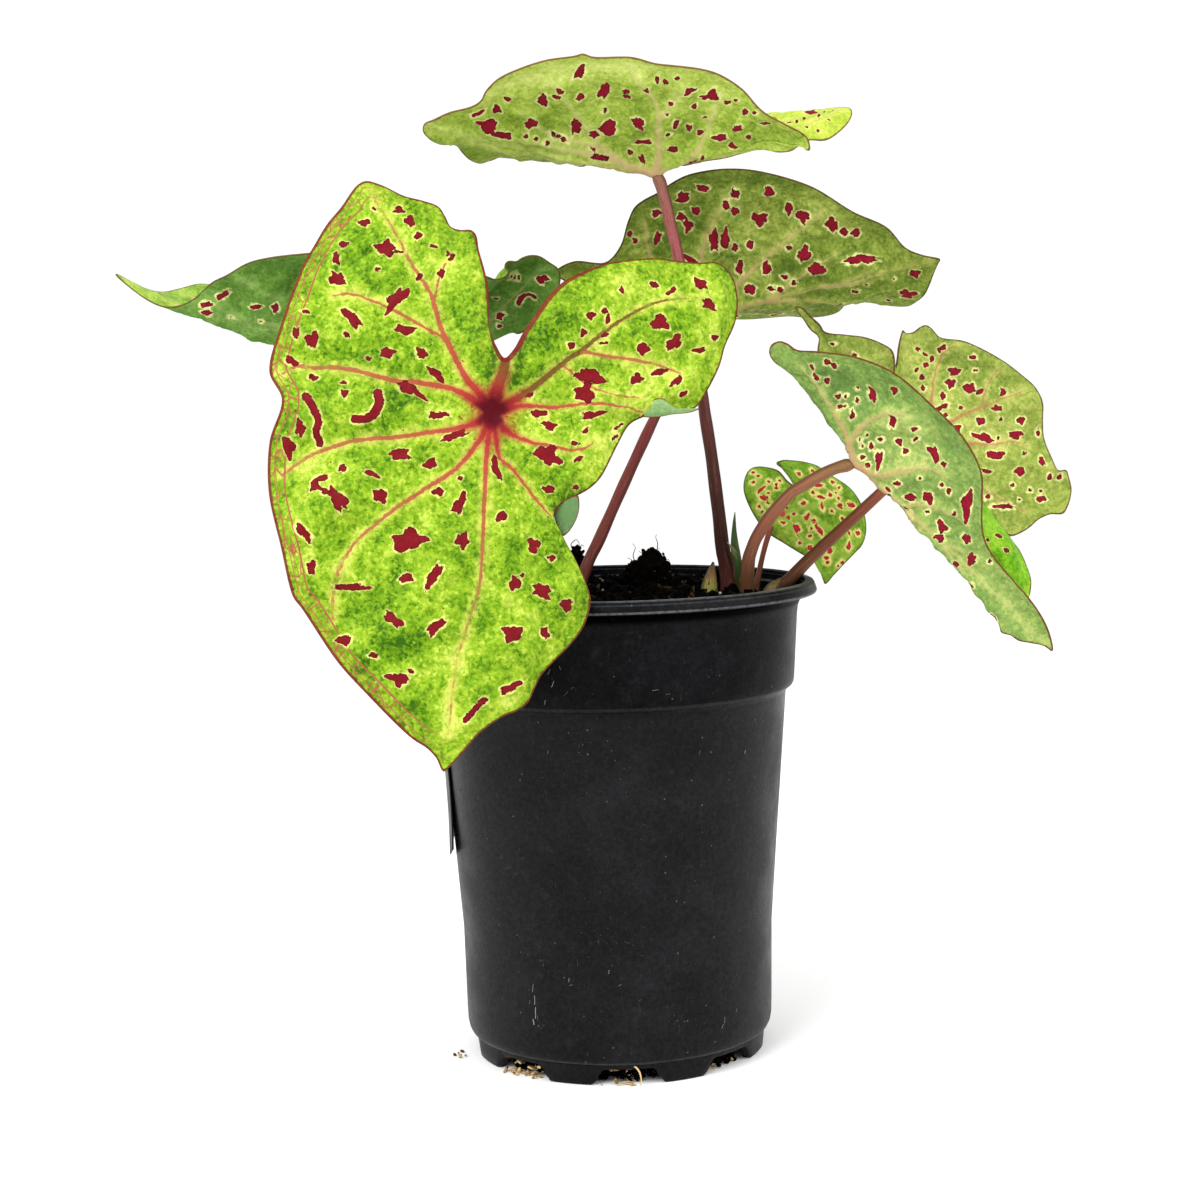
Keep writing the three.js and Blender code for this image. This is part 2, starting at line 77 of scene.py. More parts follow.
view = {
    "place": (-3.0, -650.0, 196.8),
    "pitch": 5.71,  # degrees below the horizon
    "roll": 1.355,  # degrees, the right side of the plant higher
    "focal": 2241.0,  # in pixels of a frame 1200 across
    "middle": 600.0,
    "sensor": 36.0,
}


def viewAxes():
    pitch, roll = math.radians(view["pitch"]), math.radians(-view["roll"])
    forward = np.array([0, math.cos(pitch), -math.sin(pitch)])
    flatRight = np.array([1.0, 0, 0])
    flatUp = np.array([0, math.sin(pitch), math.cos(pitch)])
    right = flatRight * math.cos(roll) + flatUp * math.sin(roll)
    up = flatUp * math.cos(roll) - flatRight * math.sin(roll)
    return right, up, forward


def addCamera():
    right, up, forward = viewAxes()
    camera = bpy.data.objects.new("camera", bpy.data.cameras.new("camera"))
    bpy.context.scene.collection.objects.link(camera)
    turn = Matrix((right, up, -forward)).transposed().to_4x4()
    camera.matrix_world = Matrix.Translation(Vector(inFrame(view["place"]))) @ turn
    camera.data.sensor_width = view["sensor"]
    camera.data.lens = view["focal"] / (2 * view["middle"]) * view["sensor"]
    camera.data.clip_start = 0.01
    bpy.context.scene.camera = camera


# Where points show in the camera's frame, 1200 pixels across: spots and veins are placed in it.
def framePlace(points):
    right, up, forward = viewAxes()
    away = np.asarray(points, float) - np.array(view["place"])
    depth = away @ forward
    across = view["middle"] + view["focal"] * (away @ right) / depth
    down = view["middle"] - view["focal"] * (away @ up) / depth
    return np.stack([across, down], -1)


addCamera()


def makePiece(name, points, faces, materials, attributes=None, slots=None, smooth=True):
    mesh = bpy.data.meshes.new(name)
    mesh.from_pydata(inFrame(points).tolist(), [], [list(map(int, face)) for face in faces])
    for key, values in (attributes or {}).items():
        values = np.asarray(values, np.float32)
        kind, field = ("FLOAT_VECTOR", "vector") if values.ndim == 2 else ("FLOAT", "value")
        mesh.attributes.new(key, kind, "POINT").data.foreach_set(field, values.ravel())
    for material in materials:
        mesh.materials.append(material)
    if slots is not None:
        mesh.polygons.foreach_set("material_index", np.asarray(slots, np.int32))
    mesh.polygons.foreach_set("use_smooth", [smooth] * len(mesh.polygons))
    mesh.update()
    piece = bpy.data.objects.new(name, mesh)
    bpy.context.scene.collection.objects.link(piece)
    return piece


# A closed tube along a path, with a radius for each of its points. Its skin is unrolled for the materials.
def tube(path, radii, sides):
    path = np.asarray(path, float)
    radii = np.broadcast_to(np.asarray(radii, float), len(path))
    tangents = np.gradient(path, axis=0)
    tangents /= np.linalg.norm(tangents, axis=1)[:, None]
    run = lengthsAlong(path)
    turn = fullTurn(sides)
    across = np.cross(tangents[0], (0.31, 0.92, 0.23))  # a direction that no path starts in
    rings = []
    for place, tangent, radius in zip(path, tangents, radii):
        across = across - tangent * (across @ tangent)
        across /= np.linalg.norm(across)
        other = np.cross(tangent, across)
        rings.append(place + radius * (np.cos(turn)[:, None] * across + np.sin(turn)[:, None] * other))
    faces = ringFaces(len(path), sides)
    last = len(path) * sides
    for k in range(sides):
        faces.append((last, (k + 1) % sides, k))
        faces.append((last + 1, last - sides + k, last - sides + (k + 1) % sides))
    points = np.vstack([*rings, path[:1], path[-1:]])
    skin = onCircle(np.repeat(radii, sides), np.tile(turn, len(path)), np.repeat(run, sides))
    skin = np.vstack([skin, [0, 0, 0], [0, 0, run[-1]]])
    return points, faces, skin


def ringFaces(rings, sides):
    faces = []
    for i in range(rings - 1):
        for k in range(sides):
            after = (k + 1) % sides
            faces.append((i * sides + k, i * sides + after, (i + 1) * sides + after, (i + 1) * sides + k))
    return faces


# Several bodies as one: their points, their faces and one number that each body carries.
class Heap:
    def __init__(self):
        self.points, self.faces, self.tones, self.count = [], [], [], 0

    def put(self, points, faces, tone=0.0):
        self.points.append(np.asarray(points, float))
        self.faces += [tuple(int(corner) + self.count for corner in face) for face in faces]
        self.tones.append(np.broadcast_to(np.asarray(tone, float), len(points)))
        self.count += len(points)

    def putTube(self, path, radii, sides, tone=0.0):
        self.put(*tube(path, radii, sides)[:2], tone)

    def piece(self, name, material):
        tones = np.concatenate(self.tones)
        return makePiece(name, np.vstack(self.points), self.faces, [material], {"tone": tones})


def ball(level):
    mesh = bmesh.new()
    bmesh.ops.create_icosphere(mesh, subdivisions=level, radius=1)
    points = np.array([tuple(corner.co) for corner in mesh.verts])
    faces = [tuple(corner.index for corner in face.verts) for face in mesh.faces]
    mesh.free()
    return points, faces


coarseBall, fineBall = ball(1), ball(5)


# A rough grain: a ball pushed in and out, stretched and turned.
def grain(draw, radii, rough=0.25):
    points, faces = coarseBall
    swell = 1 + rough * ripples(points, 1.6, int(draw.integers(1 << 30)), 8)
    turn = np.array(Euler(draw.uniform(0, 2 * math.pi, 3)).to_matrix())
    return (points * swell[:, None] * np.asarray(radii)) @ turn.T, faces


def standFor(piece, node):
    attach(piece, "root")
    if node:
        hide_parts(node)


# A soft random field: a few waves of about one length in random directions, between -1 and 1 or so.
def ripples(points, length, seed, waves=14):
    draw = np.random.default_rng(seed)
    points = np.asarray(points, float)
    field = np.zeros(len(points))
    for _ in range(waves):
        heading = draw.normal(size=points.shape[1])
        heading *= 2 * math.pi / (length * draw.uniform(0.7, 1.5) * np.linalg.norm(heading))
        field += np.sin(points @ heading + draw.uniform(0, 2 * math.pi))
    return field / math.sqrt(waves)


def smoothStep(values, low, high):
    share = np.clip((np.asarray(values, float) - low) / (high - low), 0, 1)
    return share * share * (3 - 2 * share)


class Paint:
    def __init__(self, name, roughness=0.5, **uniform):
        self.material = bpy.data.materials.new(name)
        self.material.use_nodes = True
        self.tree = self.material.node_tree
        self.shader = self.tree.nodes["Principled BSDF"]
        self.shader.inputs["Roughness"].default_value = roughness
        for socket, value in uniform.items():
            self.shader.inputs[socket.replace("_", " ")].default_value = value

    def node(self, kind, values=None, **settings):
        node = self.tree.nodes.new("ShaderNode" + kind)
        for key, value in settings.items():
            setattr(node, key, value)
        for socket, value in (values or {}).items():
            if isinstance(value, bpy.types.NodeSocket):
                self.tree.links.new(value, node.inputs[socket])
            elif value is not None:
                node.inputs[socket].default_value = value
        return node

    def attribute(self, name, vector=False):
        node = self.node("Attribute", attribute_name=name)
        return node.outputs["Vector" if vector else "Fac"]

    def place(self, scale=1000.0):
        return self.stretched(self.node("TexCoord").outputs["Object"], (scale, scale, scale))

    def noise(self, where, size, detail=4.0, rough=0.6, warp=0.0):
        values = {"Vector": where, "Scale": 1 / size, "Detail": detail, "Roughness": rough,
                  "Distortion": warp}
        return self.node("TexNoise", values).outputs["Fac"]

    def cells(self, where, size, feature="F1", output="Distance"):
        return self.node("TexVoronoi", {"Vector": where, "Scale": 1 / size}, feature=feature).outputs[output]

    # a random number for each cell
    def lots(self, where, size):
        return self.node("SeparateColor", {0: self.cells(where, size, output="Color")}).outputs[0]

    def stretched(self, where, scales):
        return self.node("VectorMath", {0: where, 1: scales}, operation="MULTIPLY").outputs[0]

    def axis(self, where, number):
        return self.node("SeparateXYZ", {0: where}).outputs[number]

    def math(self, operation, a, b=None):
        return self.node("Math", {0: a, 1: b}, operation=operation).outputs[0]

    def add(self, a, b):
        return self.math("ADD", a, b)

    def times(self, a, b):
        return self.math("MULTIPLY", a, b)

    # a noise or a random number round its middle, at a size
    def off(self, value, size):
        return self.times(self.add(value, -0.5), size)

    # how near a value lies to another: 1 closer than "full", 0 past "none"
    def band(self, value, middle, full, none, most=1.0):
        return self.span(self.math("ABSOLUTE", self.add(value, -middle)), full, none, most, 0)

    def span(self, value, low, high, start=0.0, end=1.0):
        values = {"Value": value, "From Min": low, "From Max": high, "To Min": start, "To Max": end}
        return self.node("MapRange", values, interpolation_type="SMOOTHSTEP").outputs[0]

    def mix(self, share, a, b):
        return self.node("Mix", {0: share, 6: a, 7: b}, data_type="RGBA").outputs[2]

    # a screen colour laid over another by its share
    def over(self, share, below, colour):
        return self.mix(share, below, tint(colour))

    def ramp(self, value, stops):
        node = self.node("ValToRGB", {0: value})
        ramp = node.color_ramp
        while len(ramp.elements) < len(stops):
            ramp.elements.new(0.5)
        for element, (at, colour) in zip(ramp.elements, stops):
            element.position, element.color = at, tint(colour)
        return node.outputs[0]

    def colour(self, socket):
        self.tree.links.new(socket, self.shader.inputs["Base Color"])

    def rough(self, socket):
        self.tree.links.new(socket, self.shader.inputs["Roughness"])

    def gloss(self, socket):
        self.tree.links.new(socket, self.shader.inputs["Specular IOR Level"])

    def bump(self, height, distance, strength=0.5):
        node = self.node("Bump", {"Height": height, "Distance": distance * mm, "Strength": strength})
        self.tree.links.new(node.outputs[0], self.shader.inputs["Normal"])


# A screen colour, 0 to 255, as the linear colour that the shader takes.
def tint(colour):
    return tuple(((c / 255 + 0.055) / 1.055) ** 2.4 if c > 10 else c / 255 / 12.92 for c in colour) + (1.0,)


# A blade is a fan of curved ribs from the hub out to its margin. The margin's rows are x, y, z and, where
# the rib has its own, how far its middle bows to the upper side and swings aside. "seen" names the rows of
# the half that faces the viewer: marks and veins are placed there by where they show in the view, and the
# other half gets its own. A vein is its width at both ends and the points it follows, a streak its width and
# points, a spot across, down, width, height and, if it leans, its tilt. A patch ends with how much paler it
# is.
blades = {
    "leafFront": {
        "node": "leaf_front",
        "hub": (-30, -62, 188),
        "bow": 3,
        "grain": 0.58,
        "margin": [
            (-44.2, -82, 96.7), (-42.5, -82, 97.9), (-38.8, -81, 101.8), (-34.4, -80, 106.4),
            (-28.7, -78, 110), (-24.9, -76, 111.2), (-22.3, -74.5, 113.1), (-20.8, -73, 116),
            (-18.8, -71, 119.6), (-15.4, -69, 123), (-11.4, -67, 126.6), (-7.6, -66, 131.4),
            (-5.5, -65, 138), (-6.1, -65.5, 141.6), (-8.6, -66, 147.7), (-11, -66, 152.3),
            (-13.2, -66, 156.5), (-14.6, -66, 160.2), (-13.4, -65, 163), (-9.7, -63, 165.1),
            (-5.2, -61.5, 167.4), (-2.2, -60, 170.1), (0.2, -57, 174.1), (2.5, -54, 178.4),
            (5.8, -51, 183.6), (9.4, -49, 185.6), (15.3, -48, 186.6), (19.7, -46, 187.2),
            (22.5, -44, 187.1), (24.4, -43, 188.1), (27.2, -42, 192.1), (30.8, -39, 198.7),
            (32.6, -37, 204.3), (35.5, -36, 210.5), (36.4, -34, 216.5), (34.8, -34, 223.3),
            (31.1, -34, 226.6), (26.3, -35.5, 226.6), (20.8, -37.5, 227.1), (14, -40, 227.9),
            (1.5, -44, 226.7), (-4.1, -47, 224.9), (-10.5, -50, 221.9), (-14.3, -52.5, 218.4),
            (-18.1, -55, 213.4), (-21.3, -57, 208.7), (-24, -58.5, 204.1), (-26.5, -59, 201.9),
            (-28.7, -58, 205), (-30.5, -57, 210), (-30.5, -56, 214.7), (-30.6, -54.5, 220),
            (-31.5, -53, 225.3), (-33, -50.5, 230.7), (-33.6, -49, 234.7), (-34.9, -48.5, 236),
            (-37.8, -48, 236.1), (-40.5, -47.5, 237.1), (-41.8, -47, 239.8), (-43.6, -46, 242.5),
            (-47.8, -46, 244.2), (-52.6, -46, 245.5), (-58.7, -47.5, 248.5), (-62.4, -48, 249.5),
            (-64.7, -49, 248.3), (-68.9, -51, 242.5), (-72.7, -51.5, 238.1), (-76, -52, 232.9),
            (-79.1, -54, 227.4), (-84, -63, 212.5), (-87.5, -64, 200), (-84, -68, 192.5), (-87.5, -68, 182),
            (-88, -70, 169.5), (-84.5, -77, 155.5), (-82, -76, 142.5), (-79.2, -78.5, 138.9),
            (-71, -78, 125.5), (-63, -82, 117), (-55, -81.5, 108.2), (-51.5, -82, 105.1),
            (-48.2, -82, 102.8), (-46, -82, 100.3),
        ],
        "veins": [
            (1.5, 0.3, [
                (493, 411), (477, 391), (466, 378), (450, 348), (438, 320), (432, 298), (422, 281),
                (406, 255), (394, 231), (379, 208), (371, 192),
            ]),
            (0.5, 0.25, [(434, 305), (438, 281), (446, 263)]),
            (0.7, 0.45, [
                (447, 342), (440, 336), (422, 326), (398, 312), (379, 304), (353, 295), (333, 296),
            ]),
            (1.4, 0.7, [
                (493, 411), (458, 391), (428, 384), (398, 381), (369, 374), (343, 368), (309, 368),
                (298, 366), (283, 374),
            ]),
            (1.2, 0.6, [
                (493, 411), (473, 425), (438, 432), (398, 437), (359, 440), (339, 445), (321, 451),
                (303, 460), (283, 476),
            ]),
            (1.1, 0.6, [
                (493, 411), (481, 438), (457, 468), (430, 486), (398, 507), (375, 525), (359, 539),
                (347, 557), (336, 580), (332, 610), (333, 621),
            ]),
            (1.1, 0.2, [
                (493, 411), (487, 449), (485, 486), (483, 532), (480, 582), (468, 624), (457, 660),
                (452, 695), (447, 735),
            ]),
            (1, 0.4, [(493, 411), (499, 454), (513, 470), (531, 493), (546, 510), (554, 518)]),
            (1.1, 0.3, [(493, 411), (503, 429), (523, 439), (546, 447), (567, 450), (582, 450), (592, 444)]),
            (1.2, 0.4, [(493, 411), (518, 407), (556, 407), (590, 404), (625, 408), (643, 412)]),
            (1.6, 0.25, [
                (493, 411), (518, 398), (539, 383), (564, 362), (582, 350), (602, 334), (623, 319),
                (643, 308), (664, 301), (697, 299),
            ]),
            (0.8, 0.6, [(575, 355), (582, 352), (608, 356), (633, 360), (659, 366), (679, 374)]),
            (2.6, 2.4, [(493, 411), (499, 385), (504, 370), (505, 360)]),
            (0.4, 0.2, [(560, 365), (600, 392), (640, 398)]),
        ],
        "spots": [
            (365, 224, 12, 7), (399, 211, 11, 7), (409, 223, 12, 8, -40), (417, 238, 8, 7),
            (374, 209, 6, 3, -45), (345, 246, 9, 7), (338, 260, 7, 12), (338, 280, 16, 12, -20),
            (378, 271, 5, 5), (386, 249, 18, 14, -30), (398, 252, 12, 3), (433, 248, 7, 4),
            (448, 253, 4, 6), (452, 257, 10, 4, 60), (441, 274, 9, 6, 60), (419, 277, 6, 7),
            (397, 299, 27, 13, 40), (306, 314, 9, 4), (351, 320, 29, 9, -50), (405, 330, 21, 9),
            (346, 337, 7, 4, -30), (313, 341, 13, 13), (297, 334, 7, 11), (387, 355, 15, 9),
            (421, 355, 11, 11), (369, 359, 5, 4), (292, 361, 17, 7, -35), (436, 375, 21, 7, -35),
            (411, 390, 30, 10, -28), (314, 378, 10, 6), (344, 383, 8, 4), (345, 395, 9, 7),
            (438, 415, 22, 6), (301, 428, 9, 17), (454, 436, 26, 8, 18), (289, 447, 11, 20),
            (400, 455, 20, 11), (430, 464, 15, 9, 20), (343, 469, 9, 8), (372, 475, 13, 6, -25),
            (496, 468, 28, 7, -75), (316, 488, 9, 12), (323, 480, 15, 6, 10), (325, 493, 13, 5, -25),
            (338, 500, 25, 12, -60), (380, 496, 14, 13), (438, 492, 11, 9), (459, 504, 24, 9, 60),
            (460, 479, 5, 4), (501, 517, 10, 9), (409, 541, 34, 20), (462, 541, 12, 17),
            (304, 533, 20, 8, -50), (312, 567, 9, 15, 15), (532, 546, 12, 15), (551, 558, 8, 6),
            (407, 579, 13, 9, 30), (433, 577, 28, 9, 60), (352, 587, 34, 7), (513, 584, 11, 13),
            (519, 576, 6, 4, 30), (539, 591, 18, 13, -20), (564, 604, 12, 12), (394, 620, 20, 10, -40),
            (436, 627, 24, 9, 40), (510, 634, 19, 15), (543, 633, 9, 11), (345, 640, 16, 10),
            (375, 656, 9, 5), (398, 679, 18, 13, -20), (411, 671, 9, 3, -20), (509, 687, 22, 7, 30),
            (547, 456, 24, 17, -20), (548, 489, 11, 8), (575, 487, 6, 6), (574, 444, 9, 4),
            (578, 459, 9, 4, 30), (590, 316, 9, 8), (604, 311, 7, 6), (608, 319, 5, 10), (620, 292, 5, 7),
            (654, 284, 10, 6, -20), (671, 292, 11, 5, 35), (699, 285, 14, 9, -20), (707, 305, 14, 10, -40),
            (713, 337, 7, 5), (583, 333, 6, 9), (571, 346, 7, 8), (605, 335, 9, 4, 30), (603, 343, 10, 3),
            (659, 323, 15, 16), (673, 343, 16, 12, 30), (642, 349, 12, 11), (698, 350, 12, 6, 10),
            (659, 372, 17, 6, 10), (636, 379, 14, 9), (674, 382, 15, 6, 40), (681, 394, 9, 5, 30),
            (589, 376, 26, 14, -10), (598, 381, 12, 8), (584, 393, 20, 15), (587, 400, 9, 8),
            (539, 414, 17, 8), (592, 414, 23, 8, 20), (548, 427, 14, 8, -20), (585, 431, 9, 4, 45),
            (617, 427, 13, 3, 35), (614, 437, 10, 3, 35), (530, 395, 9, 5, 30),
        ],
        "streaks": [
            (8, [(378, 393), (379, 405), (374, 414), (366, 419), (355, 419)]),
            (7, [(306, 397), (314, 408), (319, 420), (317, 432), (320, 444)]),
            (5, [(465, 720), (472, 712), (477, 706), (485, 699)]),
        ],
        "pricks": 420,
        "patches": [
            (514, 374, 18, 50, 20, -1.3), (556, 364, 64, 12, 28, -1.3), (515, 362, 14, 60, -20, -1.6),
            (492, 372, 12, 50, 0, -1.3), (548, 335, 34, 84, -38, -1), (470, 492, 12, 52, 32, -1.2),
            (478, 560, 14, 60, 0, -0.5), (398, 400, 70, 30, 0, -0.8), (400, 578, 24, 60, 0, -0.9),
            (420, 640, 90, 22, 15, -0.8), (366, 662, 60, 30, 30, -0.8), (345, 610, 40, 36, 0, -0.6),
            (470, 610, 36, 40, 0, -0.7), (555, 560, 34, 60, 0, -0.6), (552, 486, 22, 40, 0, -0.6),
            (360, 232, 40, 60, 30, -0.6), (460, 520, 24, 40, 0, -0.5), (330, 545, 40, 14, 0, -0.5),
            (300, 640, 30, 90, -40, -0.6), (690, 320, 16, 16, 0, -0.7), (345, 292, 50, 18, 0, 1),
            (446, 262, 44, 60, 0, 0.8), (430, 410, 60, 14, 0, 0.9), (345, 330, 70, 40, 0, 0.4),
            (600, 455, 40, 60, -20, 1.1), (650, 385, 90, 40, 0, 0.9), (540, 425, 50, 30, 0, 0.8),
            (705, 310, 36, 70, 0, 0.9), (640, 290, 80, 30, 0, 0.5), (455, 715, 44, 44, 0, 1.2),
            (505, 704, 36, 16, 25, 1.2), (450, 660, 60, 40, 0, 0.7), (512, 604, 60, 14, -35, 1),
            (320, 470, 50, 60, 0, 0.5), (520, 520, 44, 40, 0, 0.4), (432, 520, 40, 30, 0, 0.5),
            (300, 560, 40, 30, 0, 0.7), (390, 560, 26, 30, 0, 0.5),
        ],
        "palette": "lime",
        "dullVeins": (10, 12),
        "net": 0.12,
        "netRows": (63, 82),
        "rim": 0.4,
        "notch": 47,
        "notchRim": 0.95,
        "stalk": [
            (-19, -3, 113, 2.3), (-17.5, -4, 126, 2.3), (-17, -5, 136, 2.2), (-18, -14, 149, 2),
            (-21, -32, 166, 1.9), (-25, -50, 179, 1.8), (-30, -62, 188, 1.7),
        ],
    },
    "leafTop": {
        "node": "leaf_top",
        "hub": (16, 4, 254),
        "bow": 2,
        "grain": 0.66,
        "seen": (0, 31),
        "margin": [
            (-49.7, -4, 269, -1.5), (-46.7, -6, 270, -1.2), (-41.9, -10, 271.4, -0.6), (-35.8, -13, 272.4),
            (-33, -15, 273.7), (-31.4, -18, 275.9), (-27.7, -22, 278.7), (-22.6, -25, 280.6),
            (-14.5, -28, 282.6), (-6.3, -30, 283.3), (-4.1, -30.2, 283.8), (-1.7, -30.3, 282.9),
            (9.2, -30.5, 282.5), (15.4, -30, 280.8), (20.5, -29.5, 280.2), (27.6, -28.5, 279.3),
            (32.5, -28, 277.9), (39.3, -24, 274.2), (44.8, -23, 268.3), (51.2, -24, 264.3),
            (55.7, -23, 262), (57.4, -22.5, 260.4), (57.8, -22, 257.3), (57.1, -21.5, 257.5),
            (56.2, -20, 259.6), (53.4, -17, 257.9), (49.7, -14, 257.9), (45.5, -11, 259.3),
            (40.9, -8, 258.6), (34.7, -3, 257.5), (28.6, 0, 257.2), (23.9, 5, 256.5), (41, 11, 260.5),
            (61, 20, 264.5), (68, 25, 265), (75, 30, 271), (75.5, 35, 275), (58.5, 46, 275),
            (43.5, 52, 275), (25, 54, 273.5), (8, 52, 271), (-7.4, 46, 265.1), (-11.1, 42, 262.4),
            (-16.5, 39, 261.8), (-21, 36, 262.2), (-26.3, 33, 262.5), (-31.2, 29.5, 262.4),
            (-35.3, 26.5, 260.6, 2.4), (-38.4, 23, 261.4, 2.6), (-40.4, 18, 263.1, 2.4),
            (-41.8, 12, 264.6, 1.8), (-45.9, 4, 264.2, 0.6), (-48.7, 0, 265.4, -0.6),
            (-50.2, -2, 267.3, -1.2),
        ],
        "veins": [
            (1, 0.3, [(657, 174), (620, 160), (600, 145), (588, 130), (576, 114), (564, 100), (552, 84)]),
            (1, 0.3, [(657, 174), (659, 150), (659, 130), (657, 108), (648, 92), (639, 80), (630, 68)]),
            (1, 0.3, [(657, 174), (682, 165), (697, 152), (706, 135), (712, 118), (717, 105), (718, 92)]),
            (0.9, 0.25, [(657, 174), (630, 165), (590, 155), (550, 147), (510, 140), (470, 135)]),
            (0.8, 0.25, [(657, 174), (690, 168), (715, 160), (735, 152)]),
            (0.5, 0.2, [(600, 145), (575, 140), (548, 130), (520, 112)]),
            (0.5, 0.2, [(658, 120), (672, 103), (683, 85)]),
        ],
        "spots": [
            (580, 74, 15, 8, 65), (543, 102, 9, 14), (560, 90, 7, 6), (557, 97, 9, 4), (604, 94, 17, 9, 55),
            (580, 97, 9, 5, 30), (626, 92, 8, 5, 20), (627, 98, 8, 5), (646, 90, 5, 7),
            (689, 90, 11, 7, 20), (710, 96, 19, 8, 20), (727, 103, 6, 5), (736, 100, 5, 3), (666, 82, 6, 5),
            (657, 81, 4, 6), (677, 77, 5, 4), (672, 103, 5, 4), (508, 100, 7, 6), (497, 111, 8, 7, 20),
            (477, 114, 14, 4, 20), (488, 127, 20, 10, -20), (502, 135, 20, 5, -15), (531, 121, 14, 8, 10),
            (526, 137, 5, 4), (536, 140, 5, 5), (547, 143, 6, 5), (557, 133, 19, 5, -30),
            (576, 127, 10, 16), (608, 128, 17, 13, 15), (605, 112, 4, 5), (594, 135, 11, 6, -30),
            (593, 146, 9, 4, -40), (600, 159, 22, 6, -10), (643, 143, 17, 5), (638, 123, 15, 8, -50),
            (630, 153, 6, 5), (642, 159, 10, 5, -60), (667, 114, 4, 4), (676, 124, 10, 5, 60),
            (689, 128, 6, 6), (700, 133, 6, 6), (673, 149, 11, 6), (720, 138, 12, 7), (737, 129, 9, 6),
            (744, 113, 6, 7), (764, 127, 12, 5, 15), (748, 138, 5, 5), (733, 148, 10, 6, -20),
            (705, 117, 6, 3, 30), (754, 113, 5, 4), (694, 106, 5, 5), (668, 134, 4, 4),
        ],
        "streaks": [
            (4, [(690, 160), (697, 158), (704, 155)]),
        ],
        "farSpots": [
            (789, 123, 4, 2.4), (797, 122, 3, 2), (804, 120, 3, 2.4), (807, 128, 3, 2.4), (819, 118, 3, 4),
            (824, 112, 3, 3), (833, 111, 3, 2.4), (818, 131, 4, 3), (812, 124, 3, 2), (829, 120, 3, 3),
        ],
        "scatter": 46,
        "pricks": 30,
        "patches": [
            (560, 72, 170, 26, 8, 1.3), (655, 74, 150, 22, -4, 1), (500, 92, 60, 26, 30, 1),
            (600, 100, 90, 30, 20, 0.6), (520, 122, 90, 30, -10, -0.9), (560, 112, 60, 30, 30, -0.8),
            (445, 132, 50, 20, 10, -0.9), (640, 112, 30, 60, 0, -0.6), (690, 132, 110, 30, -10, -0.7),
            (600, 150, 120, 14, -8, -0.7), (760, 138, 70, 20, -15, -0.6), (722, 92, 40, 30, 0, 0.8),
            (640, 165, 90, 12, 0, 0.7), (490, 155, 60, 14, 0, -0.8),
        ],
        "palette": "fresh",
        "stalk": [
            (36.8, -6, 113, 3.3), (35.2, -5, 132.3, 3.3), (34.5, -4.4, 138.6, 2.7), (33.6, -4, 143, 2.25),
            (32.8, -3.7, 146.7, 2), (32.1, -3, 154.8, 1.95), (31.5, -2.4, 160.6, 1.92),
            (30.2, -1, 173, 1.82), (28.6, 0.3, 185, 1.7), (28, 1, 191, 1.68), (25.5, 3, 209, 1.66),
            (22, 5, 230.2, 1.68), (19.8, 5.1, 240.7, 1.68), (18.2, 4.8, 248, 1.68), (17.1, 4.4, 252, 1.75),
            (16, 4, 254, 2.1),
        ],
    },
    "leafBackRight": {
        "node": "leaf_back_right",
        "hub": (28, 38, 214),
        "bow": 2,
        "grain": 0.68,
        "seen": (21, 42),
        "margin": [
            (101, 26, 229, 0), (100.7, 27.5, 228.2, 0), (99.7, 30, 225.2, 0), (98.9, 33, 222.1, 0),
            (97.8, 36, 219.2, 0), (95.7, 40.5, 217.1, 0), (93.5, 45, 216, 0), (88.2, 50.5, 216.6),
            (85.8, 53.5, 217.6), (83.9, 56, 219), (80.8, 59, 218.4), (76.8, 62.5, 217.5),
            (74.6, 65.5, 215.3), (71, 68, 214.2), (64.8, 73, 214), (60.4, 78, 214.6), (44.5, 86, 214.2),
            (22, 88, 217), (3, 82, 220), (-3.5, 68, 219), (7, 54, 215), (19.5, 38, 212.5), (8, 37.5, 216),
            (-7, 33.5, 223), (-14, 30.5, 228), (-8.5, 28.5, 231), (1, 28.5, 230.5), (5.5, 26, 235),
            (8, 22.5, 242.3), (10, 19, 246), (12.7, 17.5, 247.9), (16.9, 16.5, 249.9), (20.9, 14.5, 252.4),
            (25, 13.5, 254.3), (30.3, 12.5, 255.4), (37.2, 12, 255.9), (45.7, 12, 255.1),
            (61.5, 14.5, 250.5), (74.5, 18.5, 243), (84.5, 21, 238.5, 1), (90.5, 24, 232.5, 0),
            (95.4, 25, 230.4, 0),
        ],
        "veins": [
            (1, 0.3, [(695, 318), (712, 302), (736, 285), (765, 258), (790, 237), (804, 226), (822, 214)]),
            (1, 0.3, [(695, 318), (697, 290), (700, 262), (710, 228), (722, 206), (735, 190)]),
            (0.9, 0.25, [(695, 318), (670, 290), (655, 265), (648, 250), (644, 221)]),
            (0.6, 0.25, [(770, 305), (790, 285), (812, 268), (835, 255)]),
            (0.5, 0.2, [(820, 296), (845, 280), (872, 270)]),
            (0.9, 0.25, [(695, 318), (665, 298), (630, 275), (600, 268)]),
        ],
        "spots": [
            (683, 199, 15, 9, 20), (703, 189, 12, 6, -10), (657, 213, 12, 6), (696, 212, 8, 8),
            (681, 218, 8, 9), (688, 227, 8, 13), (657, 239, 13, 7, 70), (630, 234, 5, 6), (635, 240, 5, 6),
            (735, 194, 8, 11), (726, 205, 7, 10), (735, 212, 8, 8, 30), (769, 192, 9, 10),
            (760, 221, 15, 13, -20), (714, 240, 8, 24), (725, 239, 8, 19), (735, 248, 6, 9),
            (750, 245, 7, 8), (740, 268, 7, 14), (766, 267, 8, 16), (750, 289, 11, 10), (789, 210, 8, 11),
            (803, 217, 14, 11, -50), (832, 225, 11, 16), (844, 234, 8, 8), (856, 235, 10, 7, 20),
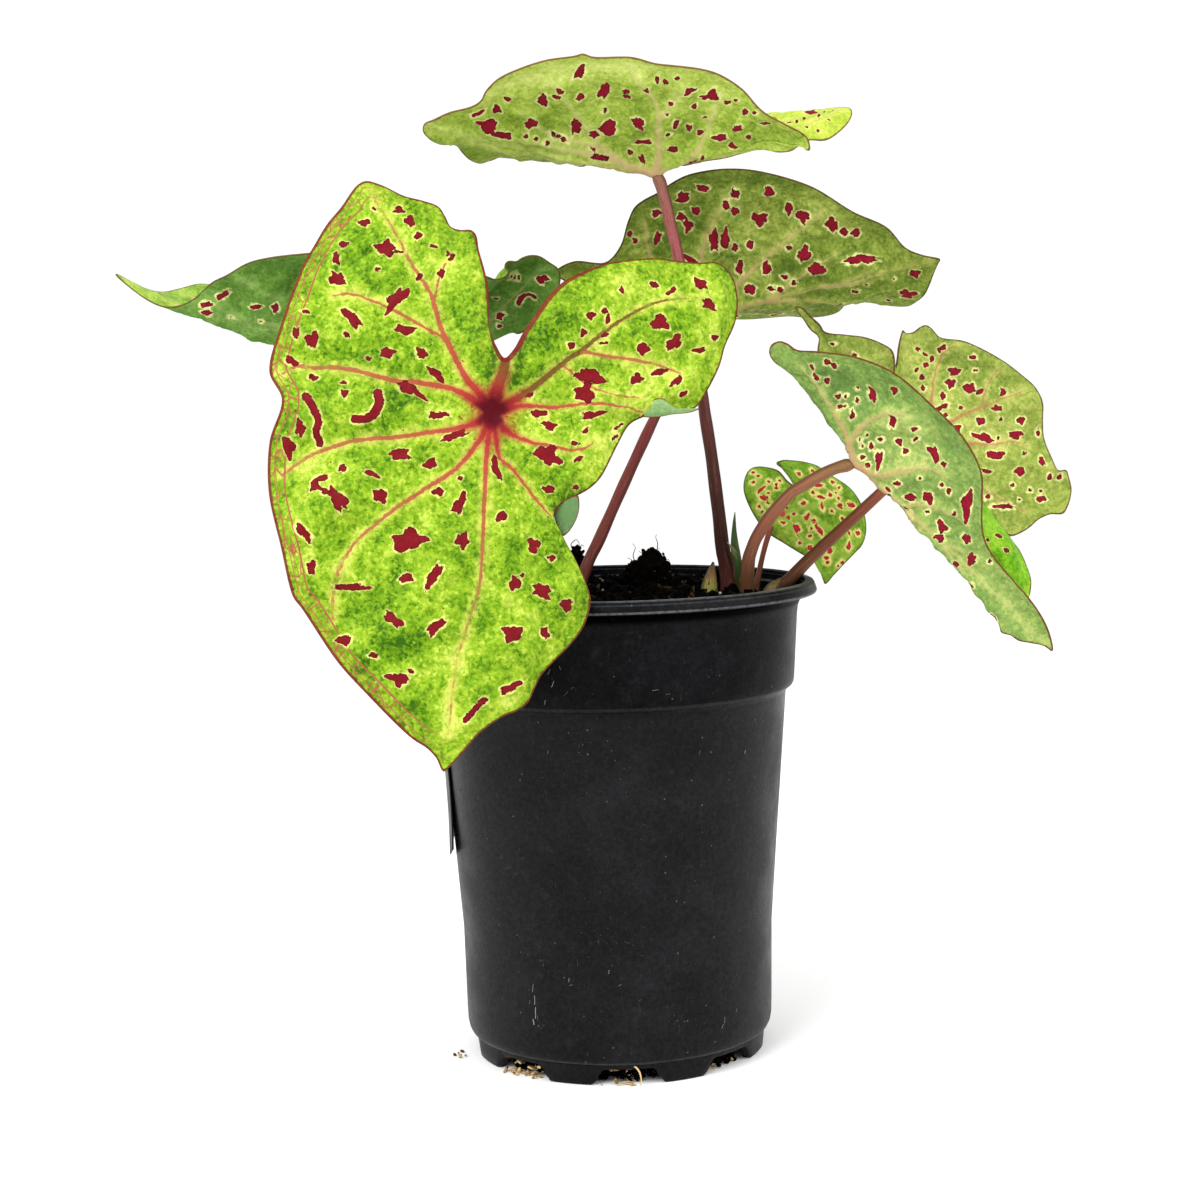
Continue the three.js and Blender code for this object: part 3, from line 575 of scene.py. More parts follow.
            (789, 247, 5, 6), (804, 253, 16, 11, 60), (817, 269, 17, 12, -10), (785, 277, 8, 5),
            (794, 284, 6, 6, 30), (771, 289, 7, 5), (780, 290, 7, 4), (861, 260, 33, 7, 5),
            (893, 287, 11, 4), (917, 276, 4, 4), (819, 310, 12, 5), (785, 315, 9, 4),
            (690, 259, 14, 6, -20),
        ],
        "scatter": 44,
        "pricks": 20,
        "patches": [
            (730, 178, 160, 22, 0, -0.9), (820, 268, 150, 60, -10, -0.9), (900, 285, 90, 40, -10, -0.7),
            (740, 215, 60, 60, 0, 0.6), (780, 235, 90, 40, 30, 0.7), (665, 225, 60, 70, 0, -0.6),
            (835, 215, 70, 24, -30, 0.7), (760, 310, 90, 18, 0, 0.5), (640, 240, 24, 50, 0, 0.5),
            (735, 300, 40, 40, 0, 0.4), (780, 295, 80, 16, 10, -0.5),
        ],
        "palette": "moss",
        "stalk": [
            (-15, 1, 113, 2.1), (-12, 4, 126, 2), (-9.7, 6, 133.4, 1.9), (-5.9, 9.1, 142.7, 1.78),
            (-3, 11, 148.2, 1.75), (2.9, 15.6, 160.4, 1.7), (9.1, 20.3, 173, 1.64), (15, 24.5, 184.6, 1.6),
            (23.3, 32, 200, 1.6), (28, 38, 214, 1.6),
        ],
    },
    "leafLeft": {
        "node": "leaf_left",
        "hub": (-47, 18, 199),
        "bow": 1.5,
        "grain": 0.7,
        "seen": (0, 27),
        "margin": [
            (-141.5, 8, 229.5, -6), (-134.2, 7, 223, -5), (-126.7, 5, 219.6, -4), (-119.5, 3, 221, -3),
            (-112.5, 0, 226, -2), (-107.5, -4, 227.8, -1), (-101.6, -5, 230.9, 0), (-94.7, -8.5, 232.2),
            (-83.1, -12.5, 233), (-67.5, -17, 233.5), (-50.5, -20.5, 232), (-32.7, -17.5, 225.2),
            (-30.1, -13, 224.5), (-27.5, -9, 225.6), (-26.5, -8, 227), (-27.7, -8.5, 228.4),
            (-26.8, -8.5, 229.7), (-24.3, -8, 229.6), (-23.1, -8, 230.4), (-21.1, -8, 231.1),
            (-18.3, -7, 231.1), (-15.3, -5, 229.4), (-12.2, -3, 226.6), (-15.5, 3, 216),
            (-24.8, 8.5, 209.5), (-26.6, 10, 210.3), (-29.9, 12, 209.1), (-40.5, 17, 204.5),
            (-31.5, 34, 213), (-30, 50, 221), (-44.5, 62, 226.5), (-70, 62, 227), (-97, 52, 225.5),
            (-115, 38, 226.5, 0), (-121.5, 30, 227, -2), (-126.5, 25, 225.5, -3), (-130.5, 20, 224.5, -4),
            (-134.5, 14, 225.5, -5),
        ],
        "veins": [
            (0.9, 0.25, [(445, 372), (400, 345), (350, 325), (300, 310), (262, 290), (236, 275)]),
            (0.9, 0.25, [(445, 372), (420, 330), (380, 290), (345, 262)]),
            (0.9, 0.25, [(445, 372), (470, 340), (500, 310), (530, 280), (545, 268)]),
            (0.5, 0.2, [(300, 330), (270, 325), (235, 315), (205, 300)]),
        ],
        "spots": [
            (223, 295, 14, 6, 25), (206, 304, 12, 5, 15), (207, 312, 10, 5), (231, 317, 6, 2),
            (257, 305, 11, 5), (261, 321, 4, 3), (275, 308, 7, 8), (542, 279, 12, 8), (500, 315, 7, 9, 30),
            (499, 326, 5, 4), (511, 278, 2, 5, -20), (515, 278, 2, 5, -20), (519, 279, 2, 5, -20),
            (496, 299, 5, 2), (345, 290, 12, 9), (380, 310, 14, 9), (410, 280, 10, 8), (330, 320, 9, 7),
            (440, 300, 12, 9),
        ],
        "streaks": [
            (5, [(518, 304), (522, 298), (529, 295), (535, 299)]),
        ],
        "scatter": 48,
        "pricks": 20,
        "patches": [
            (270, 275, 90, 40, 10, -0.3), (520, 290, 60, 60, 0, -0.9), (235, 325, 110, 18, -20, 0.8),
            (180, 295, 60, 16, 0, 0.6), (290, 330, 40, 30, 0, 0.6),
        ],
        "palette": "shade",
        "stalk": [
            (-23, 2, 113, 2), (-22, 2, 126, 2), (-22, 2, 135, 2), (-24, 3, 150, 1.9), (-29, 7, 169, 1.8),
            (-38, 13, 186, 1.7), (-47, 18, 199, 1.6),
        ],
    },
    "leafRightFront": {
        "node": "leaf_right_front",
        "hub": (68, -30, 171),
        "bow": 1,
        "grain": 0.6,
        "seen": (25, 54),
        "margin": [
            (122, -34, 118), (119.6, -34, 119.5), (115.8, -34, 120.4), (112.4, -34, 121.2),
            (110.7, -33, 122.6), (108.2, -32, 123.4), (108.3, -31, 127), (106.7, -30.5, 130.3, 1.8),
            (105.5, -30, 132.5, 2.4), (102.5, -29.5, 135.9, 3.2), (100.7, -29, 138.4, 3.4),
            (104.6, -27, 134.2, 3.4), (117, -22, 131.2, 3), (118.8, -20, 135.7, 2.4),
            (118.1, -18, 139.8, 1.8), (116.5, -16, 144.3), (115, -12, 147.1), (113, -9, 150.7),
            (111.5, 0, 153.5), (106, 4, 162.5), (99, 6, 174.5), (87.5, 6, 186), (75.5, 3, 191),
            (67, -8, 188), (67, -20, 179.5), (67.5, -27, 174.5), (66, -29.5, 177.3), (63.8, -30, 180),
            (61.1, -30.5, 181.8), (59.6, -31, 185.5), (57.2, -31, 189.1), (55, -31, 192.4),
            (52.3, -31, 196.2), (48.8, -31, 197.9), (46.3, -31.5, 199.7), (44.9, -33, 202.2),
            (45.5, -34, 204.2), (47.7, -35, 205), (49.9, -35.5, 204.2), (52, -36, 202.6),
            (57.4, -38.5, 202), (68, -44, 200), (77.5, -47, 195.5), (86.5, -48, 187.5), (95.5, -48, 178),
            (100.5, -46.5, 168.5), (101.2, -43.5, 160.9), (101.9, -39.5, 153), (102.7, -38.5, 149.6),
            (105, -37.5, 145.3), (111.1, -37, 137.8), (114.6, -37.5, 133.6), (118.5, -37, 127.9),
            (121, -35.5, 122.7),
        ],
        "veins": [
            (0.9, 0.25, [
                (855, 464), (853, 450), (856, 434), (867, 422), (882, 414), (893, 412), (905, 412),
            ]),
            (0.9, 0.25, [
                (855, 464), (868, 472), (882, 474), (898, 471), (913, 469), (933, 470), (948, 476),
            ]),
            (0.8, 0.2, [(855, 464), (848, 440), (838, 415), (822, 392), (800, 365)]),
            (0.5, 0.2, [(900, 508), (925, 505), (950, 512), (966, 524)]),
            (0.5, 0.2, [(940, 545), (958, 548), (975, 560)]),
        ],
        "spots": [
            (812, 367, 9, 3, -55), (827, 362, 7, 6, -45), (834, 366, 7, 6, -60), (816, 377, 8, 4, -60),
            (826, 382, 5, 7), (838, 397, 5, 5), (845, 397, 3, 4), (840, 407, 6, 4), (845, 407, 3, 4),
            (856, 402, 6, 5), (856, 390, 3, 4), (853, 415, 5, 9), (871, 396, 14, 7, -70), (894, 391, 8, 8),
            (893, 420, 7, 15), (914, 429, 7, 4), (915, 440, 7, 4, 35), (898, 443, 8, 6, -30),
            (905, 452, 6, 5), (880, 440, 5, 4), (871, 446, 4, 7), (867, 435, 3, 4), (860, 439, 3, 4),
            (862, 446, 3, 4), (863, 457, 5, 4), (868, 465, 6, 5, -30), (879, 460, 7, 17),
            (933, 455, 17, 8, -60), (944, 464, 5, 6), (920, 478, 3, 3), (898, 482, 8, 5),
            (888, 488, 6, 3, -40), (942, 485, 5, 5), (949, 491, 5, 6), (910, 498, 12, 7, -10),
            (928, 498, 14, 8, -60), (967, 506, 10, 28), (954, 513, 5, 5), (927, 512, 4, 4),
            (942, 526, 13, 8, -50), (940, 537, 10, 7, -30), (967, 539, 10, 7, -50), (972, 559, 8, 12),
            (990, 561, 4, 4), (986, 590, 8, 4, -30), (1024, 626, 6, 4, -20), (1005, 616, 3, 2),
            (905, 509, 8, 2, -25),
        ],
        "scatter": 40,
        "pricks": 30,
        "patches": [
            (835, 385, 70, 50, -30, -1.2), (862, 450, 40, 50, 0, -0.9), (905, 425, 70, 40, -10, 1.2),
            (920, 460, 60, 26, 0, 1.3), (900, 385, 70, 26, -30, -0.5), (950, 440, 30, 90, 20, -0.4),
            (930, 510, 60, 50, -40, -0.3), (975, 560, 60, 40, -45, 0.3), (1000, 600, 60, 40, -50, -0.2),
            (1002, 545, 20, 60, 20, 0.4),
        ],
        "palette": "sea",
        "stalk": [
            (41.5, -10.5, 113, 2), (40.3, -12.5, 124, 2), (39.1, -14, 135.1, 1.95), (39.4, -16, 143.2, 1.9),
            (40.2, -16.6, 146.4, 1.85), (41.5, -17.3, 149.8, 1.82), (43.4, -18, 153, 1.8),
            (45.3, -18.9, 155.7, 1.78), (47.2, -19.9, 158.2, 1.77), (51.2, -22.3, 162.8, 1.75),
            (53.9, -23.7, 164.6, 1.75), (58.8, -26.1, 167.6, 1.72), (63.1, -28, 169.7, 1.62),
            (68, -30, 171, 1.9),
        ],
    },
    "leafRightBack": {
        "node": "leaf_right_back",
        "hub": (98, 32, 174),
        "bow": 3,
        "grain": 0.6,
        "margin": [
            (111.3, 25, 140.8), (99, 28, 148.5), (86.8, 31, 162.2), (74.5, 33, 172.5), (66.5, 33, 195.5),
            (64.7, 33, 202.4), (65, 32.5, 207.2), (62.6, 31.5, 209.1), (60.5, 31, 212.1),
            (58.4, 30.5, 214.8), (58.1, 30, 216.2), (59.9, 30, 215.8), (62.6, 30.3, 213.1),
            (65.3, 30.7, 210.5), (66.5, 31, 208.5), (73.1, 33, 207.5), (79.4, 35, 206.6), (84.6, 36, 204.6),
            (87.6, 35.5, 202.4), (88.3, 35.3, 199.5), (87.9, 35, 195.4), (89.2, 37.5, 198.9),
            (90, 39, 203.4), (91.3, 41, 207.7), (91.7, 41, 208.6), (92.6, 41.5, 207.7), (95.1, 43, 207.9),
            (97.4, 44, 209.4), (99.3, 44.5, 210), (101.2, 45, 208.8), (103.4, 45, 206.3),
            (105.7, 44, 205.6), (109.9, 42, 205), (115.5, 42.5, 202.7), (123.5, 44, 198.1),
            (128.4, 42.5, 194), (132.1, 41, 190.3), (134.3, 40, 185.6), (134.5, 41, 180.1),
            (135.1, 42.5, 174.5), (137, 40, 168.4), (138.9, 38.5, 164.4), (141, 38.3, 164.7),
            (141.9, 38.5, 162.5), (142.8, 39, 158.5), (141.3, 37, 153.7), (139.4, 35.5, 151.5),
            (135.6, 36, 151.3), (132.3, 36.5, 149.9), (129.2, 35, 147.6), (125.2, 33, 145.7),
            (122.4, 31.5, 145.3), (120, 30, 146.7),
        ],
        "veins": [
            (1.1, 0.3, [(930, 445), (930, 425), (931, 403), (933, 381), (938, 363), (946, 352), (957, 345)]),
            (1, 0.3, [(930, 445), (940, 430), (953, 421), (970, 413), (984, 407), (1005, 398), (1022, 392)]),
            (0.5, 0.2, [(982, 408), (984, 396), (991, 378), (1000, 368)]),
            (0.9, 0.3, [(930, 445), (950, 444), (972, 444), (993, 445), (1008, 442), (1028, 446)]),
            (0.9, 0.25, [(930, 445), (948, 462), (972, 482), (1000, 500), (1025, 512)]),
            (0.9, 0.25, [(930, 445), (915, 420), (895, 395), (868, 365), (845, 350)]),
            (1, 0.3, [(930, 445), (945, 480), (962, 520), (972, 550)]),
        ],
        "spots": [
            (919, 349, 4, 5), (926, 354, 6, 3, -40), (932, 359, 4, 6), (926, 365, 5, 7, -20),
            (917, 370, 3, 6, -20), (922, 377, 5, 5), (923, 388, 5, 6), (943, 348, 8, 6, 60),
            (939, 351, 6, 3, -60), (973, 357, 7, 4), (955, 371, 13, 7), (951, 383, 10, 9, 20),
            (970, 388, 10, 11), (980, 392, 9, 5, 40), (977, 370, 5, 3), (943, 395, 6, 8),
            (945, 405, 10, 5, 10), (939, 408, 7, 5), (946, 415, 5, 4, -30), (961, 408, 4, 4),
            (1003, 392, 6, 9), (997, 408, 10, 7), (980, 421, 9, 7, 20), (957, 428, 8, 6), (1001, 419, 4, 4),
            (1022, 421, 8, 8), (1016, 435, 13, 8, 15), (1038, 432, 3, 8), (983, 438, 20, 8, -15),
            (998, 438, 3, 4), (995, 455, 19, 8), (1024, 454, 5, 4), (1042, 461, 11, 5, -60),
            (1020, 471, 11, 8), (987, 471, 13, 4, -5), (1050, 477, 5, 6), (1060, 477, 5, 7),
            (1031, 489, 4, 4), (1042, 490, 3, 3), (1013, 485, 5, 4), (1042, 498, 10, 6), (1002, 507, 21, 4),
            (988, 497, 5, 5), (989, 521, 9, 4), (834, 343, 6, 3), (854, 355, 6, 4), (1020, 500, 3, 3),
        ],
        "pricks": 20,
        "patches": [
            (912, 360, 30, 60, 10, 1), (955, 355, 60, 20, -10, -0.8), (850, 345, 60, 20, -10, -0.8),
            (985, 375, 60, 40, -30, -0.5), (1000, 440, 60, 30, 0, 0.9), (1015, 395, 40, 50, 0, 0.6),
            (950, 400, 40, 50, 0, 0.5), (1035, 475, 50, 40, 0, 0.7), (1010, 500, 70, 40, 20, -0.9),
            (985, 425, 50, 12, 0, 0.8), (1030, 430, 14, 90, 0, -0.4), (975, 470, 40, 30, 0, 0.5),
        ],
        "palette": "olive",
        "stalk": [
            (45, -3, 113, 2.1), (46, -2, 124, 2.1), (48.5, 1.5, 133.4, 2.05), (52, 3.1, 135.5, 2),
            (58, 7, 140.9, 1.88), (66.1, 11.5, 147.5, 1.75), (74.3, 16.7, 154, 1.68),
            (82.3, 22, 160.3, 1.65), (91, 28, 167, 1.65), (98, 32, 174, 1.7),
        ],
    },
    "leafSmall": {
        "node": "leaf_small",
        "hub": (52, 24, 154),
        "bow": 1.5,
        "grain": 0.36,
        "margin": [
            (64.4, 17, 133.3), (67.2, 18.5, 135.8), (70.9, 21, 139.1), (74.1, 23, 141.9), (76.5, 25, 144.1),
            (78.2, 28.5, 148.7), (77.4, 31, 155.2), (75.3, 31.5, 159.2), (73, 32, 161.7), (69.7, 32.7, 164),
            (66.7, 33, 166), (64.1, 33.5, 167.9, 1.5, 0.8), (60.4, 33.5, 169.1, 1.5, 1.8),
            (55.8, 32.5, 169.8, 1.5, 3.2), (53.3, 31.5, 169.9, 1.5, 4.2), (51.5, 30.5, 169.2, 1.5, 5),
            (53.4, 29.5, 167.3, 1.5, 4.2), (55.4, 29, 164.7, 1.5, 3), (56.4, 28, 162.4, 1.5, 0.4),
            (54.5, 28.7, 163.8), (52.1, 29.3, 166.7), (49.4, 29, 167.8), (45.2, 29, 168.2), (43, 28, 167.3),
            (41.5, 26.5, 164.8), (41.1, 25, 161.3), (42.5, 23.5, 156.8), (44.7, 22, 152.6),
            (46.9, 20.5, 149.4), (52.8, 20, 145.4), (58.1, 19.5, 142), (61.1, 19.3, 140.4),
            (62.8, 18.8, 138.8), (63.6, 18, 135.9),
        ],
        "veins": [
            (0.5, 0.15, [(781, 514), (795, 530), (808, 548), (818, 566), (823, 578)]),
            (0.35, 0.12, [(781, 514), (770, 503), (760, 490), (757, 476)]),
            (0.35, 0.12, [(781, 514), (795, 500), (808, 485), (815, 470)]),
            (0.35, 0.12, [(781, 514), (805, 508), (830, 505), (852, 508)]),
            (0.35, 0.12, [(781, 514), (808, 522), (835, 530), (855, 540)]),
            (0.35, 0.12, [(781, 514), (770, 518), (758, 512)]),
            (0.3, 0.12, [(800, 537), (822, 545), (845, 556)]),
        ],
        "spots": [
            (753, 483, 3.4, 3), (753, 473, 3, 2), (758, 477, 3.4, 2.4), (768, 482, 3, 2.4),
            (779, 481, 3, 2.6), (776, 485, 3, 2.4), (776, 488, 4, 3), (761, 490, 8, 3.4, 40),
            (764, 498, 8, 4.4), (768, 493, 3, 2.4), (768, 503, 3, 3), (759, 507, 3.6, 4.6),
            (762, 512, 3, 2.6), (788, 508, 4.6, 3.6), (788, 518, 4.6, 4.6), (794, 514, 3.6, 3.2),
            (783, 523, 3.8, 3.4), (803, 504, 5, 3.4), (808, 516, 3.6, 3.6), (806, 519, 4.4, 4.6),
            (813, 522, 5, 4.6), (818, 530, 12, 3.6, -52), (796, 529, 8, 8), (799, 537, 7, 3.4, -50),
            (800, 543, 4.4, 3.4), (810, 536, 3.6, 3), (809, 548, 3, 5), (811, 529, 3, 3.6),
            (798, 475, 4.6, 3.4), (812, 472, 3.6, 3.6), (818, 487, 8, 3.4, -10), (832, 483, 3.6, 3),
            (839, 488, 3.6, 2.6), (836, 493, 3.6, 2.4), (830, 495, 5, 3, -20), (820, 498, 9, 2.8, -15),
            (812, 494, 3.6, 2.6, -30), (839, 498, 3, 3), (841, 505, 7, 4), (852, 505, 7, 4.2, -30),
            (821, 507, 3, 7), (832, 511, 3.6, 3.6), (843, 518, 3.6, 3.6), (848, 534, 3, 5),
            (857, 534, 4, 4.4), (848, 546, 4, 7.6), (829, 551, 5, 6), (826, 558, 5.6, 3.4),
            (827, 563, 3.4, 3.4), (842, 563, 3.4, 3.4), (838, 566, 3, 3),
        ],
        "notch": 18,
        "notchRim": 0.4,
        "patches": [
            (810, 500, 50, 40, 0, -0.5), (790, 535, 40, 20, 30, 0.9), (850, 515, 30, 50, 0, -0.5),
        ],
        "palette": "young",
        "stalk": [
            (42, 2, 113, 1), (41.7, 2, 123, 1), (42.9, 3, 133.9, 0.9), (44.2, 6, 139.4, 0.86),
            (45.6, 9.1, 144, 0.82), (47.4, 13.2, 148.7, 0.8), (48.8, 16.5, 151.1, 0.8),
            (50.6, 21, 153.2, 0.8), (52, 24, 154, 0.8),
        ],
    },
}

sheet = {
    "thickness": 0.42,
    "rimSteps": 12,  # points between two rows of the margin
    "samples": 1440,  # places round the margin at which its waves are read
    "calm": 0.11,  # radians over which small waves of the margin are evened out towards the hub
    "keelCalm": 0.2,  # radians on both sides of the keel that have no such waves
    "quilt": 1.2,  # how far the blade swells between its veins, and how far from them it is full
    "quiltWidth": 6.5,
    "wrinkles": [(15, 0.5), (5.5, 0.25), (2.6, 0.1)],  # length and height
    "twigQuilt": 0.28,  # the same between the side veins
    "twigQuiltWidth": 1.6,
    "flatRim": 6,  # the relief fades out over this width inside the margin
    "flatHub": (2, 14),  # and between these distances from the hub
    "rib": 0.55,  # how far a vein stands out below, its width, and over what length from the hub it thins
    "ribWidth": 0.45,
    "ribThinning": 90,
    "twigRib": 0.12,
    "twigRibWidth": 0.3,
    "evenings": 9,  # rounds in which folds are pulled smooth, and how far each one pulls
    "pull": 0.6,
    "boss": 0.9,  # swelling under the hub, which the stalk's end is in
    "bossWidth": 2.2,
}

# How a place in the frame is looked for on a blade.
search = {"shares": 90, "angles": 400, "step": 1e-3, "rounds": 5, "stride": 0.05, "flattest": 20}


# A closed smooth curve through the rows, spaced by the root of the distance.
def smoothLoop(rows, steps):
    rows = np.asarray(rows, float)
    share = np.arange(steps)[:, None] / steps
    loop = []
    for i in range(len(rows)):
        p0, p1, p2, p3 = (rows[(i + k) % len(rows)] for k in (-1, 0, 1, 2))
        gaps = [np.linalg.norm((b - a)[:3]) for a, b in ((p0, p1), (p1, p2), (p2, p3))]
        t1, t2, t3 = np.cumsum([math.sqrt(max(gap, 1e-6)) for gap in gaps])
        t = t1 + (t2 - t1) * share
        a1 = (p0 * (t1 - t) + p1 * t) / t1
        a2 = (p1 * (t2 - t) + p2 * (t - t1)) / (t2 - t1)
        a3 = (p2 * (t3 - t) + p3 * (t - t2)) / (t3 - t2)
        b1 = (a1 * (t2 - t) + a2 * t) / t2
        b2 = (a2 * (t3 - t) + a3 * (t - t1)) / (t3 - t1)
        loop.append((b1 * (t2 - t) + b2 * (t - t1)) / (t2 - t1))
    return np.concatenate(loop)


# The blade rolled out flat: every rib keeps its length and its angle to the next, so a place on the blade
# is an angle and a distance from the hub.
class FlatBlade:
    def __init__(self, leaf):
        self.leaf = leaf
        self.hub = np.array(leaf["hub"], float)
        rows = [tuple(row) + (leaf["bow"], 0)[len(row) - 3:] for row in leaf["margin"]]
        loop = smoothLoop(rows, sheet["rimSteps"])
        rays = loop[:, :3] - self.hub
        reach = np.linalg.norm(rays, axis=1)
        units = rays / reach[:, None]
        turns = np.arccos(np.clip((units * np.roll(units, -1, axis=0)).sum(1), -1, 1))
        angles = np.concatenate([[0], np.cumsum(turns)])
        self.angles = angles * 2 * math.pi / angles[-1]
        upper = np.cross(rays, np.roll(rays, -1, axis=0)).sum(0)
        self.upper = upper / np.linalg.norm(upper)
        self.reach = np.append(reach, reach[0])
        closed = np.vstack([loop, loop[:1]])
        self.rays = np.vstack([rays, rays[:1]])
        self.bow = closed[:, 3]
        self.swing = np.cross(self.rays / self.reach[:, None], self.upper) * closed[:, 4:]
        self.length = lengthsAlong(closed[:, :3])
        self.waves = self.marginWaves()

    # The part of the margin's rise and fall that is too quick to reach the hub.
    def marginWaves(self):
        samples = sheet["samples"]
        even = fullTurn(samples)
        height = np.interp(even, self.angles, self.rays @ self.upper)
        tones = np.fft.rfft(height)
        tones *= np.exp(-0.5 * (np.arange(len(tones)) * sheet["calm"]) ** 2)
        waves = height - np.fft.irfft(tones, samples)
        fromKeel = np.minimum(even, 2 * math.pi - even)
        waves *= 1 - np.exp(-((fromKeel / sheet["keelCalm"]) ** 2))
        return np.append(waves, waves[0])

    def at(self, values, angle):
        angle = np.mod(angle, 2 * math.pi)
        if values.ndim == 1:
            return np.interp(angle, self.angles, values)
        return readAlong(angle, self.angles, values)

    def surface(self, share, angle):
        even = np.linspace(0, 2 * math.pi, len(self.waves))
        waves = np.interp(np.mod(angle, 2 * math.pi), even, self.waves)
        arch = 4 * share * (1 - share)
        lift = waves * (share ** 3 - share) + self.at(self.bow, angle) * arch
        aside = self.at(self.swing, angle) * arch[..., None]
        return self.hub + self.at(self.rays, angle) * share[..., None] + self.upper * lift[..., None] + aside

    def flat(self, share, angle):
        distance = share * self.at(self.reach, angle)
        return np.stack([distance * np.cos(angle), distance * np.sin(angle)], -1)

    def polar(self, flat):
        angle = np.arctan2(flat[:, 1], flat[:, 0])
        return np.hypot(flat[:, 0], flat[:, 1]) / self.at(self.reach, angle), angle

    def rowAngle(self, row):
        count = len(self.leaf["margin"])
        return self.angles[(row % count) * sheet["rimSteps"]] + 2 * math.pi * (row // count)

    def seenSpan(self):
        first, last = self.leaf.get("seen", (0, len(self.leaf["margin"])))
        return self.rowAngle(first), self.rowAngle(last)

    # From places in the frame to shares and angles on the half that is seen.
    def fromFrame(self, places, far=False):
        places = np.asarray(places, float)
        low, high = self.seenSpan()
        if far:
            low, high = high, low + 2 * math.pi
        ribs = np.linspace(low, high, search["angles"])
        shares, angles = (grid.ravel() for grid in np.meshgrid(np.linspace(0.01, 1, search["shares"]), ribs))
        shown = framePlace(self.surface(shares, angles))
        best = [np.argmin(((shown - place) ** 2).sum(1)) for place in places]
        share, angle = shares[best], angles[best]
        small, stride = search["step"], search["stride"]

        def square(a, b):
            return a[:, 0] * b[:, 1] - a[:, 1] * b[:, 0]

        for _ in range(search["rounds"]):
            here = framePlace(self.surface(share, angle))
            alongRib = (framePlace(self.surface(share + small, angle)) - here) / small
            acrossRib = (framePlace(self.surface(share, angle + small)) - here) / small
            off = places - here
            size = square(alongRib, acrossRib)
            least = search["flattest"] * np.sign(size + 1e-9)
            size = np.where(np.abs(size) < search["flattest"], least, size)
            share = share + np.clip(square(off, acrossRib) / size, -stride, stride)
            angle = angle + np.clip(square(alongRib, off) / size, -stride, stride)
            share, angle = np.clip(share, 0.005, 1), np.clip(angle, low, high)
        return share, angle

    def flatFromFrame(self, places, far=False):
        return self.flat(*self.fromFrame(places, far))

    # The same place on the other side of the midrib.
    def otherHalf(self, share, angle):
        low, high = self.seenSpan()
        part = (angle - low) / (high - low)
        hidden = 2 * math.pi - (high - low)
        if self.leaf["seen"][0] == 0:
            return share, low - part * hidden
        return share, high + (1 - part) * hidden


farOff = 1e3  # a distance beyond every blade


# Distance from points to a polyline whose half width goes from one value to another, measured from its edge.
def edgeDistance(points, line, start=0, end=0):
    line = np.asarray(line, float)
    run = lengthsAlong(line)
    run = run / max(run[-1], 1e-9)
    nearest = np.full(len(points), farOff)
    for a, b, u, v in zip(line[:-1], line[1:], run[:-1], run[1:]):
        along = b - a
        share = np.clip(((points - a) @ along) / max(along @ along, 1e-12), 0, 1)
        away = np.linalg.norm(points - a - share[:, None] * along, axis=1)
        width = start + (end - start) * (u + (v - u) * share)
        nearest = np.minimum(nearest, away - width)
    return nearest


# A smooth line through a few points.
def smoothLine(points, step=1.0):
    points = np.asarray(points, float)
    if len(points) < 3:
        return points
    padded = np.vstack([2 * points[0] - points[1], points, 2 * points[-1] - points[-2]])
    line = []
    for i in range(1, len(padded) - 2):
        p0, p1, p2, p3 = padded[i - 1:i + 3]
        count = max(2, int(np.linalg.norm(p2 - p1) / step))
        t = np.arange(count)[:, None] / count
        line.append(0.5 * (2 * p1 + (p2 - p0) * t + (2 * p0 - 5 * p1 + 4 * p2 - p3) * t ** 2
                           + (3 * p1 - p0 - 3 * p2 + p3) * t ** 3))
    return np.vstack(line + [points[-1:]])


keel = {"start": 0.7, "end": 0.2, "reach": 0.97, "points": 40}  # the midrib of a folded blade
hubPixels = 12  # a vein that starts this close to the hub in the frame starts in it


def mainVeins(flatBlade):
    leaf = flatBlade.leaf
    veins = []
    for start, end, places in leaf["veins"]:
        share, angle = flatBlade.fromFrame(places)
        fromHub = np.hypot(*(np.array(places[0]) - framePlace(flatBlade.hub))) < hubPixels
        for half in [(share, angle)] + ([flatBlade.otherHalf(share, angle)] if "seen" in leaf else []):
            line = flatBlade.flat(*half)
            if fromHub:
                line[0] = 0
            veins.append((start, end, smoothLine(line)))
    if "seen" in leaf:
        line = flatBlade.flat(np.linspace(0, keel["reach"], keel["points"]), np.zeros(keel["points"]))
        veins.append((keel["start"], keel["end"], line))
    return veins


twigs = {
    "spacing": 7.0,
    "widths": (0.14, 0.04),
    "fork": (52, 70),  # degrees between a side vein and its main one
    "bend": (0.008, 0.022),  # radians a millimetre, back along the main vein
    "wander": 0.03,
    "step": 0.8,
    "steps": 18,
    "fewest": 4,  # shorter ones are left out
    "clear": 0.9,  # it ends this close to another main vein
    "margin": 0.965,  # or at this share of the way to the margin
}


